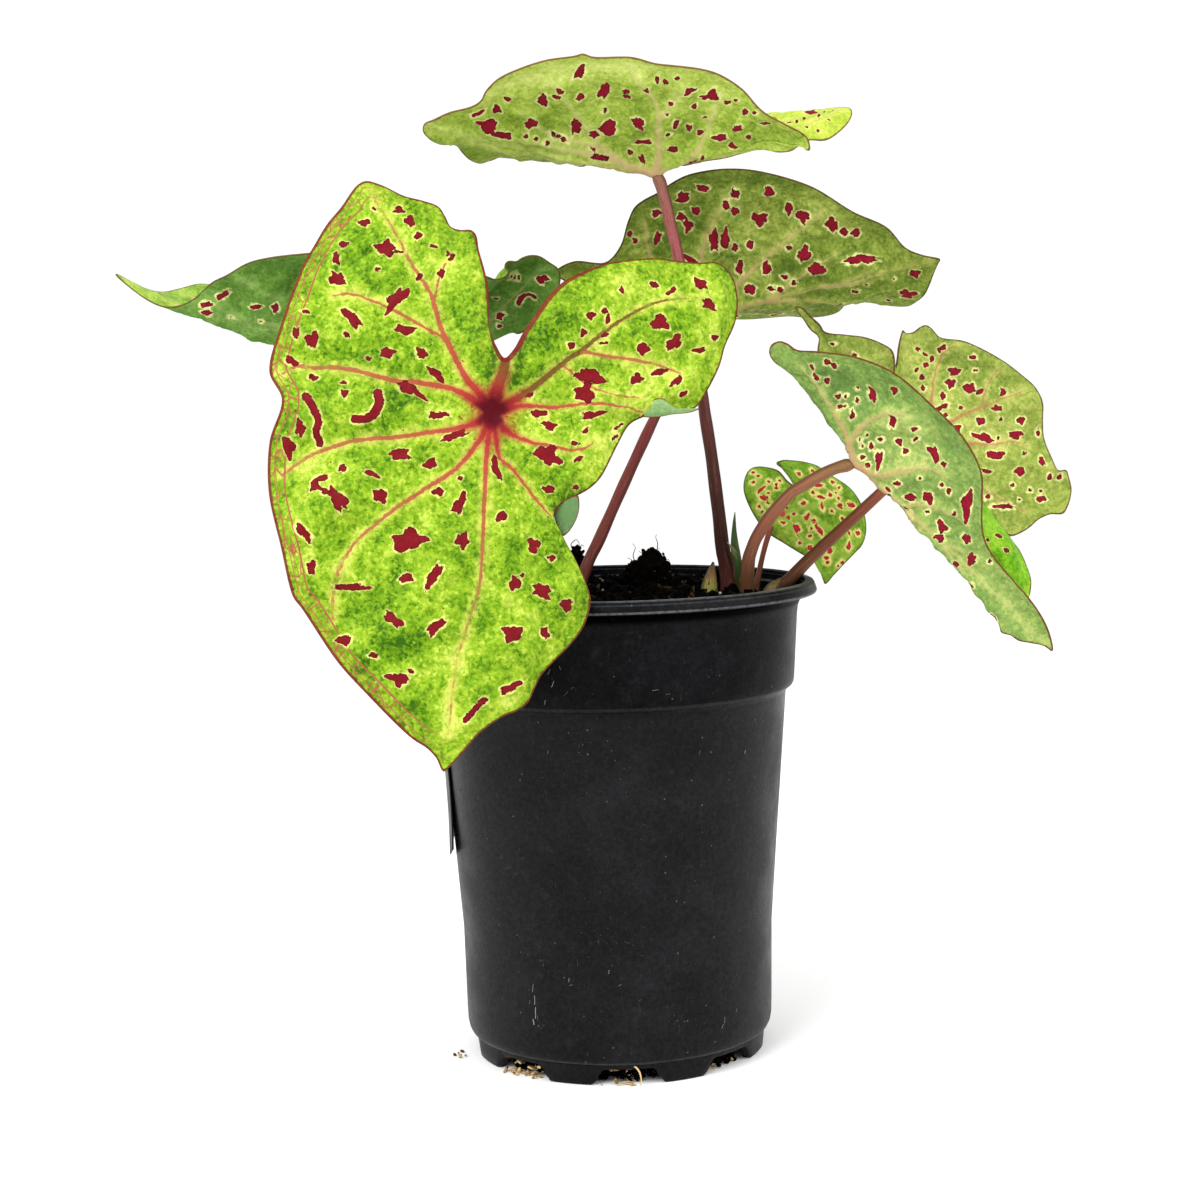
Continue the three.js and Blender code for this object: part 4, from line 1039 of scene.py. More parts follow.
# Fine side veins that leave the main ones in pairs and bend towards the margin.
def sideVeins(flatBlade, veins, seed):
    draw = np.random.default_rng(seed)
    found = []
    mains = np.vstack([line for _, _, line in veins])
    for _, _, line in veins:
        run = lengthsAlong(line)
        for side in (-1, 1):
            at = draw.uniform(0.5, 1.2) * twigs["spacing"]
            while at < run[-1] - 2:
                place = readAlong(at, run, line)
                ahead = readAlong(at + 1, run, line) - place
                heading = math.atan2(ahead[1], ahead[0]) + side * math.radians(draw.uniform(*twigs["fork"]))
                bend = -side * draw.uniform(*twigs["bend"])
                twig = [place]
                for _ in range(twigs["steps"]):
                    place = place + twigs["step"] * np.array([math.cos(heading), math.sin(heading)])
                    heading += bend * twigs["step"] + draw.normal(0, twigs["wander"])
                    share, _ = flatBlade.polar(place[None])
                    away = np.min(np.hypot(*(mains - place).T))
                    met = len(twig) > twigs["fewest"] and away < twigs["clear"]
                    if share[0] > twigs["margin"] or met:
                        break
                    twig.append(place)
                if len(twig) > twigs["fewest"]:
                    found.append(np.array(twig))
                at += twigs["spacing"] * draw.uniform(0.7, 1.3)
    return found


marks = {
    "largest": 7.5,  # no spot is longer from its middle
    "grow": 1.03,
    "stretch": 0.8,  # millimetres for a pixel, at most: a blade seen edge-on would draw spots out
    "waves": ((2, 0.08), (3, 0.13), (4, 0.09), (5, 0.09), (7, 0.07), (11, 0.05)),  # order, depth
    "livelier": (0.35, 0.9, 2.2),  # deeper waves on larger spots
    "scatterShares": (0.02, 0.9),
    "scatterSizes": {0.7: 0.3, 1.0: 0.35, 1.5: 0.25, 2.2: 0.1},  # and how likely each is
}


# The two half axes of marks in the frame, laid out on the flat blade.
def halfAxes(flatBlade, middles, tilts, sizes, far=False):
    turn = np.radians(tilts)
    ways = np.stack([[np.cos(turn), -np.sin(turn)], [np.sin(turn), np.cos(turn)]]).transpose(0, 2, 1)
    axes = []
    for way, size in zip(ways, np.transpose(sizes)):
        ahead, behind = (flatBlade.flatFromFrame(middles + way * side, far) for side in (1, -1))
        axes.append(((ahead - behind) / 2, size / 2))
    return axes


def spotField(flatBlade, points, seed):
    leaf = flatBlade.leaf
    draw = np.random.default_rng(seed)
    field = np.full(len(points), 6.0)
    spots = []
    for listed, far in ((leaf["spots"], False), (leaf.get("farSpots", []), True)):
        if not listed:
            continue
        listed = np.array([spot + (0,) * (5 - len(spot)) for spot in listed], float)
        radii = []
        for step, half in halfAxes(flatBlade, listed[:, :2], listed[:, 4], listed[:, 2:4], far):
            step *= np.minimum(1, marks["stretch"] / (np.linalg.norm(step, axis=1) + 1e-6))[:, None]
            radii.append(step * half[:, None])
        spots += zip(flatBlade.flatFromFrame(listed[:, :2], far), *radii)
    if "scatter" in leaf:
        spots += scattered(flatBlade, draw)
    for centre, a, b in spots:
        longest = max(np.linalg.norm(a), np.linalg.norm(b))
        basis = np.stack([a, b], -1) * min(1.0, marks["largest"] / longest) * marks["grow"]
        if abs(np.linalg.det(basis)) < 0.02:
            continue
        near = np.linalg.norm(points - centre, axis=1) < longest * 1.8 + 3
        back = np.linalg.inv(basis)
        local = (points[near] - centre) @ back.T
        reach = np.linalg.norm(local, axis=1) + 1e-6
        slope = np.linalg.norm(local @ back, axis=1) / reach
        angle = np.arctan2(local[:, 1], local[:, 0])
        more, low, high = marks["livelier"]
        edge, lively = 1.0, 1 + more * smoothStep(longest, low, high)
        for order, depth in marks["waves"]:
            depth *= lively * draw.uniform(0.4, 1.3)
            edge = edge + depth * np.sin(order * angle + draw.uniform(0, 2 * math.pi))
        field[near] = np.minimum(field[near], (reach - edge) / (slope + 1e-6))
    for width, places in leaf.get("streaks", []):
        line = smoothLine(flatBlade.flatFromFrame(places), 0.5)
        field = np.minimum(field, edgeDistance(points, line, width * 0.15, width * 0.13))
    return field


# Spots for the half that the viewer can't see, none too close to another.
def scattered(flatBlade, draw):
    wanted = flatBlade.leaf["scatter"]
    high, low = flatBlade.seenSpan()
    high += 2 * math.pi
    spots, taken = [], []
    for _ in range(wanted * 12):
        if len(spots) >= wanted:
            break
        share, angle = math.sqrt(draw.uniform(*marks["scatterShares"])), draw.uniform(low, high)
        centre = flatBlade.flat(np.array([share]), np.array([angle]))[0]
        long = draw.choice([*marks["scatterSizes"]], p=[*marks["scatterSizes"].values()])
        if any(np.hypot(*(centre - other)) < 1.8 * (long + reach) for other, reach in taken):
            continue
        taken.append((centre, long))
        heading, slim = draw.uniform(0, math.pi), draw.uniform(0.4, 0.95)
        way = np.array([math.cos(heading), math.sin(heading)])
        spots.append((centre, way * long, np.array([-way[1], way[0]]) * long * slim))
    return spots


# Soft darker and paler patches: partly the leaf's own mottling, partly painted shade and light where the
# blade's relief lies.
def shadeField(flatBlade, points):
    field = np.zeros(len(points))
    for x, y, wide, high, tilt, pale in flatBlade.leaf["patches"]:
        turn = math.radians(tilt)
        ways = np.array([(math.cos(turn), -math.sin(turn)), (math.sin(turn), math.cos(turn))])
        spots = np.vstack([[(x, y)], (x, y) + ways * 2, (x, y) - ways * 2])
        placed = flatBlade.flatFromFrame(spots)
        a, b = (placed[1] - placed[3]) / 4 * wide / 2, (placed[2] - placed[4]) / 4 * high / 2
        basis = np.stack([a, b], -1)
        if abs(np.linalg.det(basis)) < 0.5:
            continue
        local = (points - placed[0]) @ np.linalg.inv(basis).T
        field += pale * np.exp(-((local ** 2).sum(1) ** 1.4))
    return np.clip(field, -1.8, 1.8)


# Pin-prick specks, thickest round the hub.
def prickField(flatBlade, points, seed):
    draw = np.random.default_rng(seed)
    field = np.full(len(points), 3.0)
    for _ in range(flatBlade.leaf.get("pricks", 0)):
        share, angle = draw.uniform(0.05, 1) ** 1.6 * 0.85, draw.uniform(0, 2 * math.pi)
        centre = flatBlade.flat(np.array([share]), np.array([angle]))[0]
        near = np.abs(points - centre).max(1) < 2.5
        away = np.linalg.norm(points[near] - centre, axis=1) - draw.uniform(0.1, 0.3)
        field[near] = np.minimum(field[near], away)
    return field


rimLine = {"width": 0.22, "netWidth": 0.3, "notchSpan": (0.24, 0.46), "net": 0.25}


# The red line along the margin, in width: thick in the notch between the lobes and thin elsewhere.
def rimWidth(flatBlade, angle):
    leaf = flatBlade.leaf
    width = np.full(len(angle), leaf.get("rim", rimLine["width"]))
    if "netRows" in leaf:
        width += rimLine["netWidth"] * (netStrength(flatBlade, angle) - leaf["net"])
    if "notch" in leaf:
        whole = flatBlade.length[-1]
        middle = flatBlade.at(flatBlade.length, flatBlade.rowAngle(leaf["notch"]))
        off = np.abs((flatBlade.at(flatBlade.length, angle) - middle + whole / 2) % whole - whole / 2)
        near, far = (share * flatBlade.reach.max() for share in rimLine["notchSpan"])
        width += leaf["notchRim"] * (1 - smoothStep(off, near, far))
    return width


# How plainly the net of veins inside the margin shows: on one stretch of the margin more than elsewhere.
def netStrength(flatBlade, angle):
    leaf = flatBlade.leaf
    strength = np.full(len(angle), leaf.get("net", rimLine["net"]))
    if "netRows" in leaf:
        first, last = (flatBlade.rowAngle(row) for row in leaf["netRows"])
        turn = np.mod(angle, 2 * math.pi)
        start = smoothStep(turn, first - 0.15, first + 0.2)
        strength += start * (1 - smoothStep(turn, last - 0.2, last + 0.1))
    return np.minimum(strength, 1)


def triangulate(outline, veins, grain):
    low, high = outline.min(0), outline.max(0)
    across, up = np.meshgrid(np.arange(low[0], high[0], grain), np.arange(low[1], high[1], grain * 0.866))
    across[::2] += grain / 2
    grid = np.stack([across.ravel(), up.ravel()], -1)
    distance = edgeDistance(grid, np.vstack([outline, outline[:1]]))
    for _, _, line in veins:
        distance = np.minimum(distance, edgeDistance(grid, line))
    grid = grid[distance > 0.42 * grain]
    corners = [outline, grid]
    edges, count = [], len(outline) + len(grid)
    for _, _, line in veins:
        corners.append(line)
        edges += [(count + k, count + k + 1) for k in range(len(line) - 1)]
        count += len(line)
    corners = [Vector(corner) for corner in np.vstack(corners)]
    flat, _, faces, *_ = delaunay_2d_cdt(corners, edges, [list(range(len(outline)))], 1, 1e-4)
    return np.array([tuple(corner) for corner in flat]), np.array([face for face in faces if len(face) == 3])


def pointNormals(points, faces):
    corner = points[faces]
    normal = np.cross(corner[:, 1] - corner[:, 0], corner[:, 2] - corner[:, 0])
    total = np.zeros_like(points)
    for k in range(3):
        np.add.at(total, faces[:, k], normal)
    return total / np.maximum(np.linalg.norm(total, axis=1), 1e-12)[:, None]


def edgesOf(faces):
    return np.concatenate([faces[:, [0, 1]], faces[:, [1, 2]], faces[:, [2, 0]]])


# Folds that the fan of ribs makes are pulled smooth; the margin stays.
def evened(points, faces, free):
    ends = edgesOf(faces)
    start, end = np.concatenate([ends, ends[:, ::-1]]).T
    count = np.maximum(np.bincount(start, minlength=len(points)), 1)
    pull = sheet["pull"]
    for _ in range(sheet["evenings"]):
        mean = np.stack([np.bincount(start, points[end, k], len(points)) / count for k in range(3)], -1)
        points = np.where(free[:, None], points * (1 - pull) + mean * pull, points)
    return points


# A bell round nothing, of a width; what lies closer than nothing counts as nothing.
def bell(distance, width):
    return np.exp(-((np.maximum(distance, 0) / width) ** 2))


def addBlade(name, leaf, seed):
    flatBlade = FlatBlade(leaf)
    rim = flatBlade.flat(np.ones(len(flatBlade.angles) - 1), flatBlade.angles[:-1])
    rim = np.vstack([rim, rim[:1]])
    run = lengthsAlong(rim)
    outline = readAlong(np.linspace(0, run[-1], int(run[-1] / leaf["grain"]), endpoint=False), run, rim)
    veins = mainVeins(flatBlade)
    flat, faces = triangulate(outline, veins, leaf["grain"])

    # all faces turn the same way, and slivers without an area are left out
    corner = flat[faces]
    turn = np.cross(corner[:, 1] - corner[:, 0], corner[:, 2] - corner[:, 0])
    faces[turn < 0] = faces[turn < 0][:, ::-1]
    faces = faces[np.abs(turn) > 1e-7]

    share, angle = flatBlade.polar(flat)
    share = np.clip(share, 0, 1)
    fromHub = np.hypot(flat[:, 0], flat[:, 1])
    vein, dull = np.full(len(flat), farOff), np.zeros(len(flat))
    for number, (start, end, line) in enumerate(veins):
        gap = edgeDistance(flat, line, start / 2, end / 2)
        dull = np.where(gap < vein, number in leaf.get("dullVeins", ()), dull)
        vein = np.minimum(vein, gap)
    twig = np.full(len(flat), farOff)
    for line in sideVeins(flatBlade, veins, seed):
        near = ((flat > line.min(0) - 3) & (flat < line.max(0) + 3)).all(1)
        twig[near] = np.minimum(twig[near], edgeDistance(flat[near], line, *twigs["widths"]))
    inset = edgeDistance(flat, np.vstack([outline, outline[:1]]))

    settle = smoothStep(inset, 0, sheet["flatRim"]) * smoothStep(fromHub, *sheet["flatHub"])
    relief = sheet["quilt"] * (1 - np.exp(-((vein / sheet["quiltWidth"]) ** 2))) * settle
    for number, (length, height) in enumerate(sheet["wrinkles"]):
        relief += height * ripples(flat, length, seed + number) * settle
    relief += sheet["twigQuilt"] * (1 - bell(twig, sheet["twigQuiltWidth"])) * settle
    middle = evened(flatBlade.surface(share, angle), faces, inset > 0.01)
    normals = pointNormals(middle, faces)
    middle = middle + normals * relief[:, None]
    normals = pointNormals(middle, faces)

    half = sheet["thickness"] / 2
    thinner = np.clip(1.15 - fromHub / sheet["ribThinning"], 0.25, 1)
    rib = sheet["rib"] * thinner * bell(vein, sheet["ribWidth"])
    rib = (rib + sheet["twigRib"] * bell(twig, sheet["twigRibWidth"])) * smoothStep(inset, 0, 3)
    rib += sheet["boss"] * bell(fromHub, sheet["bossWidth"])
    top = middle + normals * half
    under = middle - normals * (half + rib)[:, None]

    count = len(flat)
    keys, times = np.unique(np.sort(edgesOf(faces), axis=1), axis=0, return_counts=True)
    single = {tuple(edge) for edge in keys[times == 1]}
    sides = []
    for a, b, c in faces:
        for p, q in ((a, b), (b, c), (c, a)):
            if (min(p, q), max(p, q)) in single:
                sides.append((p, p + count, q + count, q))
    allFaces = [tuple(face) for face in faces]
    allFaces += [(a + count, c + count, b + count) for a, b, c in faces] + sides
    slots = [0] * len(faces) + [1] * len(faces) + [0] * len(sides)
    attributes = {
        "flat": np.column_stack([flat, np.zeros(count)]),
        "spot": np.clip(spotField(flatBlade, flat, seed + 7), -5, 5),
        "prick": prickField(flatBlade, flat, seed + 9),
        "vein": np.clip(vein, -3, 8),
        "dull": dull,
        "twig": np.clip(twig, -1, 3),
        "inset": np.clip(inset, 0, 9),
        "fromHub": fromHub,
        "alongRim": flatBlade.at(flatBlade.length, angle),
        "rimWidth": rimWidth(flatBlade, angle),
        "net": netStrength(flatBlade, angle),
        "shade": shadeField(flatBlade, flat),
    }
    attributes = {key: np.concatenate([values, values]) for key, values in attributes.items()}
    materials = [bladeMaterial(name + side.capitalize(), leaf["palette"], side)
                 for side in ("upper", "under")]
    piece = makePiece(name, np.vstack([top, under]), allFaces, materials, attributes, slots)
    standFor(piece, leaf["node"])
    print(name, "has", len(allFaces), "faces")


# Bits of the front blade's margin that curl over and show their pale underside.
curls = {
    "thickness": 0.4,
    "rimSteps": 5,
    "rings": (0.04, 0.25, 0.45, 0.65, 0.82, 0.93, 1),  # shares of the way to the margin
    "bits": [
        {"dome": 1, "tone": 0.4, "margin": [
            (9.4, -50, 185.9), (10.8, -50, 188.8), (12.7, -50, 190.2), (14.8, -50, 190.4),
            (16.9, -50, 188.9), (19.8, -50, 187.5), (24.9, -50, 187.5), (22.2, -50, 186.5),
            (17.4, -50, 186.1), (13.4, -50, 185.5),
        ]},
        # the second bit hangs just behind the blade, and its low tone paints the shade there
        {"dome": 0.6, "tone": -2.6, "margin": [
            (-8.2, -64.2, 165.9), (-7.8, -64.2, 163.8), (-8.1, -64.2, 161.2), (-9.3, -64.2, 158.4),
            (-11, -64.2, 156.1), (-12.4, -64.2, 155.3), (-13.8, -64.2, 158), (-14.4, -64.2, 160.9),
            (-13.1, -64.2, 163.7), (-10.7, -64.2, 165.2),
        ]},
    ],
}


def addCurls():
    points, faces, inset, tone = [], [], [], []
    shares = curls["rings"]
    for curl in curls["bits"]:
        loop = smoothLoop(curl["margin"], curls["rimSteps"])
        middle, count, first = loop.mean(0), len(loop), sum(len(rows) for rows in points)
        for side, row in ((0, shares), (curls["thickness"], shares[::-1])):
            for share in row:
                rise = curl["dome"] * (1 - share ** 2)
                points.append(middle + (loop - middle) * share + (0, side - rise, 0))
                inset.append(np.full(count, (1 - share) * 4))
                tone.append(np.full(count, curl["tone"]))
        rings = 2 * len(shares)
        last = (rings - 1) * count
        ends = [tuple(range(count))[::-1], tuple(range(last, last + count))]
        faces += [tuple(first + corner for corner in face) for face in ringFaces(rings, count) + ends]
    points, inset = np.vstack(points), np.concatenate(inset)
    plain = {"spot": 5, "prick": 3, "vein": 8, "twig": 3, "fromHub": 60, "rimWidth": 0.2, "alongRim": 0,
             "net": 0, "dull": 0}
    attributes = {key: np.full(len(points), float(value)) for key, value in plain.items()}
    attributes["flat"] = np.column_stack([points[:, 0], points[:, 2], inset * 0])
    attributes.update(inset=inset, shade=np.concatenate(tone))
    material = bladeMaterial("leafCurl", "lime", "under")
    standFor(makePiece("leafCurls", points, faces, [material], attributes), None)


# What the colours of a blade's side are for, the first four from the darkest patches to the palest.
shadeNames = ("deep", "mid", "light", "pale", "glow", "veinNear", "veinFar", "twig")
shadeStops = (0.36, 0.47, 0.57, 0.7)

palettes = {
    "lime": {
        "rim": (92, 30, 24),
        "upper": [
            (42, 82, 6), (98, 138, 16), (138, 168, 38), (188, 200, 88), (186, 186, 84), (150, 44, 46),
            (146, 78, 56), (92, 112, 30),
        ],
        "under": [
            (84, 116, 70), (106, 138, 84), (130, 158, 100), (160, 178, 120), (160, 176, 124),
            (170, 110, 96), (158, 158, 106), (140, 164, 106),
        ],
    },
    "fresh": {
        "rim": (100, 60, 36),
        "upper": [
            (120, 146, 34), (148, 170, 48), (170, 186, 66), (190, 200, 90), (184, 194, 90), (166, 80, 70),
            (170, 160, 80), (170, 184, 80),
        ],
        "under": [
            (90, 116, 32), (136, 160, 54), (172, 190, 84), (210, 218, 126), (186, 190, 116),
            (190, 158, 116), (180, 186, 112), (112, 132, 56),
        ],
    },
    "moss": {
        "rim": (74, 44, 26),
        "upper": [
            (76, 118, 32), (112, 150, 46), (146, 174, 66), (170, 186, 90), (170, 184, 92), (160, 60, 60),
            (160, 130, 74), (150, 172, 74),
        ],
        "under": [
            (62, 84, 24), (100, 122, 40), (144, 158, 68), (188, 190, 112), (186, 176, 106), (182, 140, 104),
            (176, 164, 102), (84, 104, 40),
        ],
    },
    "shade": {
        "rim": (84, 60, 34),
        "upper": [
            (76, 118, 32), (112, 150, 46), (140, 172, 64), (166, 184, 90), (166, 182, 90), (156, 54, 58),
            (156, 122, 72), (142, 166, 74),
        ],
        "under": [
            (56, 90, 24), (80, 118, 40), (106, 142, 62), (146, 170, 98), (136, 158, 84), (164, 118, 94),
            (126, 150, 80), (76, 108, 44),
        ],
    },
    "sea": {
        "rim": (92, 28, 26),
        "upper": [
            (70, 128, 6), (98, 156, 18), (130, 178, 36), (160, 194, 62), (160, 188, 66), (156, 54, 58),
            (156, 130, 74), (120, 160, 50),
        ],
        "under": [
            (80, 106, 50), (104, 134, 64), (138, 160, 82), (186, 194, 112), (186, 188, 112),
            (176, 138, 100), (170, 172, 104), (88, 116, 52),
        ],
    },
    "olive": {
        "rim": (84, 44, 30),
        "upper": [
            (90, 132, 34), (120, 156, 46), (150, 178, 66), (174, 190, 90), (172, 184, 92), (156, 54, 58),
            (156, 130, 74), (150, 172, 74),
        ],
        "under": [
            (84, 102, 38), (118, 138, 54), (156, 166, 80), (200, 196, 116), (190, 184, 108), (150, 92, 66),
            (152, 104, 70), (100, 96, 48),
        ],
    },
    "young": {
        "rim": (70, 78, 30),
        "upper": [
            (68, 106, 22), (96, 138, 30), (126, 162, 46), (170, 188, 78), (138, 172, 60), (140, 168, 62),
            (136, 166, 66), (128, 158, 56),
        ],
        "under": [
            (88, 120, 58), (106, 136, 72), (126, 152, 88), (150, 168, 106), (152, 168, 108), (164, 112, 96),
            (140, 158, 98), (124, 150, 90),
        ],
    },
}

spotColours = {
    "upper": {"dark": (70, 5, 12), "light": (112, 16, 24), "halo": (206, 202, 116)},
    "under": {"dark": (64, 6, 20), "light": (132, 20, 38), "halo": (222, 218, 146)},
    "young": {"dark": (140, 24, 34), "light": (186, 36, 56), "halo": (230, 216, 128)},
    "dull": (92, 56, 24),
    "notch": (104, 16, 26),
    "hub": (72, 4, 16),
    "hubGlow": (140, 30, 36),
}


# What differs between the sides of a blade, and on the upper side of the young one.
sideLooks = {
    "upper": {
        "contrast": 1.1,
        "glow": (2.2, 0.75),  # width and strength of the paler bands beside the veins
        "twig": 0.2,
        "net": 1,
        "halo": 0.62,  # width of the pale edge of the spots
        "flush": 0.5,  # red beside the veins near the hub
        "vein": 1,
        "rough": (0.42, 0.6),
    },
    "under": {"contrast": 0.75, "glow": (1.4, 0.36), "twig": 0.3, "net": 0.4, "halo": 0.8, "flush": 0.3,
              "vein": 0.7, "rough": (0.55, 0.7)},
}
sideLooks["young"] = {**sideLooks["upper"], "halo": 1.1}

# The rows of fine veins inside the margin: how far in each lies, its half width and its strength.
seams = [(4.4, 0.08, 0.34, 1), (1.9, 0.04, 0.26, 0.8)]


def bladeMaterial(name, paletteName, side):
    palette, young, under = palettes[paletteName], paletteName == "young", side == "under"
    shade = dict(zip(shadeNames, palette[side]))
    kind = "young" if young and not under else side
    look, spots = sideLooks[kind], spotColours[kind]
    paint = Paint(name, roughness=0.5, Specular_IOR_Level=0.06)
    flat = paint.attribute("flat", vector=True)
    fromHub, vein, twig = (paint.attribute(key) for key in ("fromHub", "vein", "twig"))
    spot, prick, inset = (paint.attribute(key) for key in ("spot", "prick", "inset"))
    alongRim, rimWide, net = (paint.attribute(key) for key in ("alongRim", "rimWidth", "net"))

    broad = paint.noise(flat, 17, detail=3, rough=0.6, warp=0.2)
    mottle = paint.noise(flat, 3.6, detail=8, rough=0.72, warp=0.25)
    uneven = paint.noise(flat, 1.7, detail=3, rough=0.6)
    grain = paint.noise(flat, 1.1, detail=5, rough=0.75)
    cell = paint.lots(flat, 0.8)

    # greens in patches, from broad ones down to the grain
    fine = paint.add(paint.off(cell, 0.11), paint.off(grain, 0.32))
    patch = paint.add(paint.add(paint.off(broad, 0.3), paint.off(mottle, 0.46)), fine)
    patch = paint.times(patch, look["contrast"])
    # the placed patches, partly painted shade of the blade's relief, shift the greens darker or paler
    patch = paint.add(patch, paint.times(paint.attribute("shade"), 0.09 * look["contrast"]))
    patch = paint.add(patch, paint.span(vein, 0.2, 3.4, 0.05, 0))
    colour = paint.ramp(paint.add(patch, 0.5), list(zip(shadeStops, palette[side])))

    # paler beside the veins, with darker flecks scattered in patches
    width, share = look["glow"]
    glow = paint.times(paint.span(vein, 0, width, share, 0), paint.span(mottle, 0.4, 0.6, 0.1, 1))
    colour = paint.over(glow, colour, shade["glow"])
    flecks = paint.times(paint.span(paint.noise(flat, 1.9, detail=5, rough=0.7, warp=0.1), 0.54, 0.66),
                         paint.span(broad, 0.36, 0.56, 0.55, 0.1))
    colour = paint.over(flecks, colour, shade["deep"])
    netting = paint.span(paint.cells(flat, 1.9, feature="DISTANCE_TO_EDGE"), 0, 0.06, 1, 0)
    colour = paint.over(paint.times(netting, 0.14), colour, shade["twig"])
    colour = paint.over(paint.times(paint.span(twig, -0.02, 0.25, 1, 0), look["twig"]), colour, shade["twig"])

    # the net of fine veins inside the margin: rungs between two seams
    edge = paint.add(inset, paint.off(grain, 0.4))
    rungs = {0: paint.times(alongRim, 0.15), 1: paint.times(inset, 0.36)}
    border = paint.node("CombineXYZ", rungs).outputs[0]
    netted = paint.span(paint.cells(border, 1, feature="DISTANCE_TO_EDGE"), 0, 0.05, 1, 0)
    netted = paint.times(netted, paint.span(edge, 3.8, 4.8, 1, 0))
    for place, full, none, most in seams:
        netted = paint.math("MAXIMUM", netted, paint.band(edge, place, full, none, most))
    colour = paint.over(paint.times(netted, paint.times(net, look["net"])), colour, shade["veinFar"])

    # spots with a thin pale edge, broader and broken here and there
    ragged = paint.add(spot, paint.add(paint.off(grain, 0.6), paint.off(cell, 0.3)))
    halo = paint.times(paint.span(paint.add(ragged, paint.off(uneven, 2.2)), 0.05, look["halo"], 0.9, 0),
                       paint.span(broad, 0.36, 0.6, 0.85 if young else 0.4, 1))
    colour = paint.over(halo, colour, spots["halo"])
    deep = paint.add(paint.span(ragged, -0.45, 0.0, 0.14, -0.35), grain)
    blotch = paint.mix(paint.span(deep, 0.25, 0.75), tint(spots["dark"]), tint(spots["light"]))
    pricked = paint.span(paint.add(prick, paint.off(grain, 0.3)), -0.02, 0.08, 0.85, 0)
    colour = paint.over(pricked, colour, spots["light"])

    # veins, red towards the hub and broken towards the margin
    line = paint.mix(paint.span(fromHub, 6, 50), tint(shade["veinNear"]), tint(shade["veinFar"]))
    line = paint.over(paint.attribute("dull"), line, spotColours["dull"])
    flush = paint.add(paint.span(fromHub, 4, 30, look["flush"], 0.06), paint.off(uneven, 0.3))
    flush = paint.times(paint.span(vein, 0, 1.2, 1, 0), paint.math("MAXIMUM", flush, 0.0))
    colour = paint.mix(flush, colour, line)
    rough = paint.add(vein, paint.add(paint.off(grain, 0.5), paint.off(uneven, 0.7)))
    veinShareAndPaintedHighlights = paint.add(mottle, paint.span(fromHub, 12, 70, 0.3, -0.02))
    veinShareAndPaintedHighlights = paint.times(paint.span(veinShareAndPaintedHighlights, 0.42, 0.6, 0.15, 0.9), look["vein"])
    colour = paint.mix(paint.times(paint.span(rough, -0.12, 0.16, 1, 0), veinShareAndPaintedHighlights), colour, line)
    colour = paint.mix(paint.span(ragged, -0.05, 0.08, 1, 0), colour, blotch)

    # hub: dark star with rays along the veins
    ray = paint.add(fromHub, paint.off(mottle, 6))
    ray = paint.add(ray, paint.times(paint.span(vein, 0, 2.2), 4))
    if kind == "young":
        colour = paint.over(paint.span(fromHub, 0.8, 1.5, 0.9, 0), colour, spots["light"])
    elif under:
        colour = paint.over(paint.span(ray, 1.5, 7, 0.75, 0), colour, shade["veinNear"])
    else:
        colour = paint.over(paint.span(ray, 4, 14, 0.88, 0), colour, spotColours["hubGlow"])
        colour = paint.over(paint.span(ray, 2.4, 7, 1, 0), colour, spotColours["hub"])

    # margin
    line = paint.span(paint.math("SUBTRACT", edge, rimWide), 0, 0.24, 0.9, 0)
    thick = paint.mix(paint.span(rimWide, 0.4, 0.75), tint(palette["rim"]), tint(spotColours["notch"]))
    paint.colour(paint.mix(line, colour, thick))
    height = paint.add(paint.times(grain, 0.3), paint.times(netting, -0.25))
    height = paint.add(paint.times(mottle, 0.8), height)
    paint.bump(height, 0.5, 0.4)
    paint.rough(paint.span(grain, 0.2, 0.8, *look["rough"]))
    return paint.material


addCurls()
for number, (name, leaf) in enumerate(blades.items()):
    addBlade(name, leaf, 100 + 20 * number)


# The stalks: colours from the foot up to the blade, and where along the stalk each one stands.
stalks = {
    "stemFront": {"leaf": "leafFront", "node": "stem_front", "slot": "stalk_tan", "finish": "tan"},
    "stemTop": {"leaf": "leafTop", "node": "stem_top", "slot": "stalk_red", "finish": "maroon"},
    "stemBackRight": {"leaf": "leafBackRight", "node": "stem_back_right", "slot": "stalk_red",
                      "finish": "wine"},
    "stemLeft": {"leaf": "leafLeft", "node": "stem_left", "slot": "stalk_tan", "finish": "tan"},
    "stemRightFront": {"leaf": "leafRightFront", "node": "stem_right_front", "slot": "stalk_tan",
                       "finish": "tan", "flush": (-0.7, 0, 0.7)},
    "stemRightBack": {"leaf": "leafRightBack", "node": "stem_right_back", "slot": "stalk_red",
                      "finish": "russet", "flush": (-0.7, 0, 0.7)},
    "stemSmall": {"leaf": "leafSmall", "node": "stem_small", "slot": "stalk_red", "finish": "russet"},
}

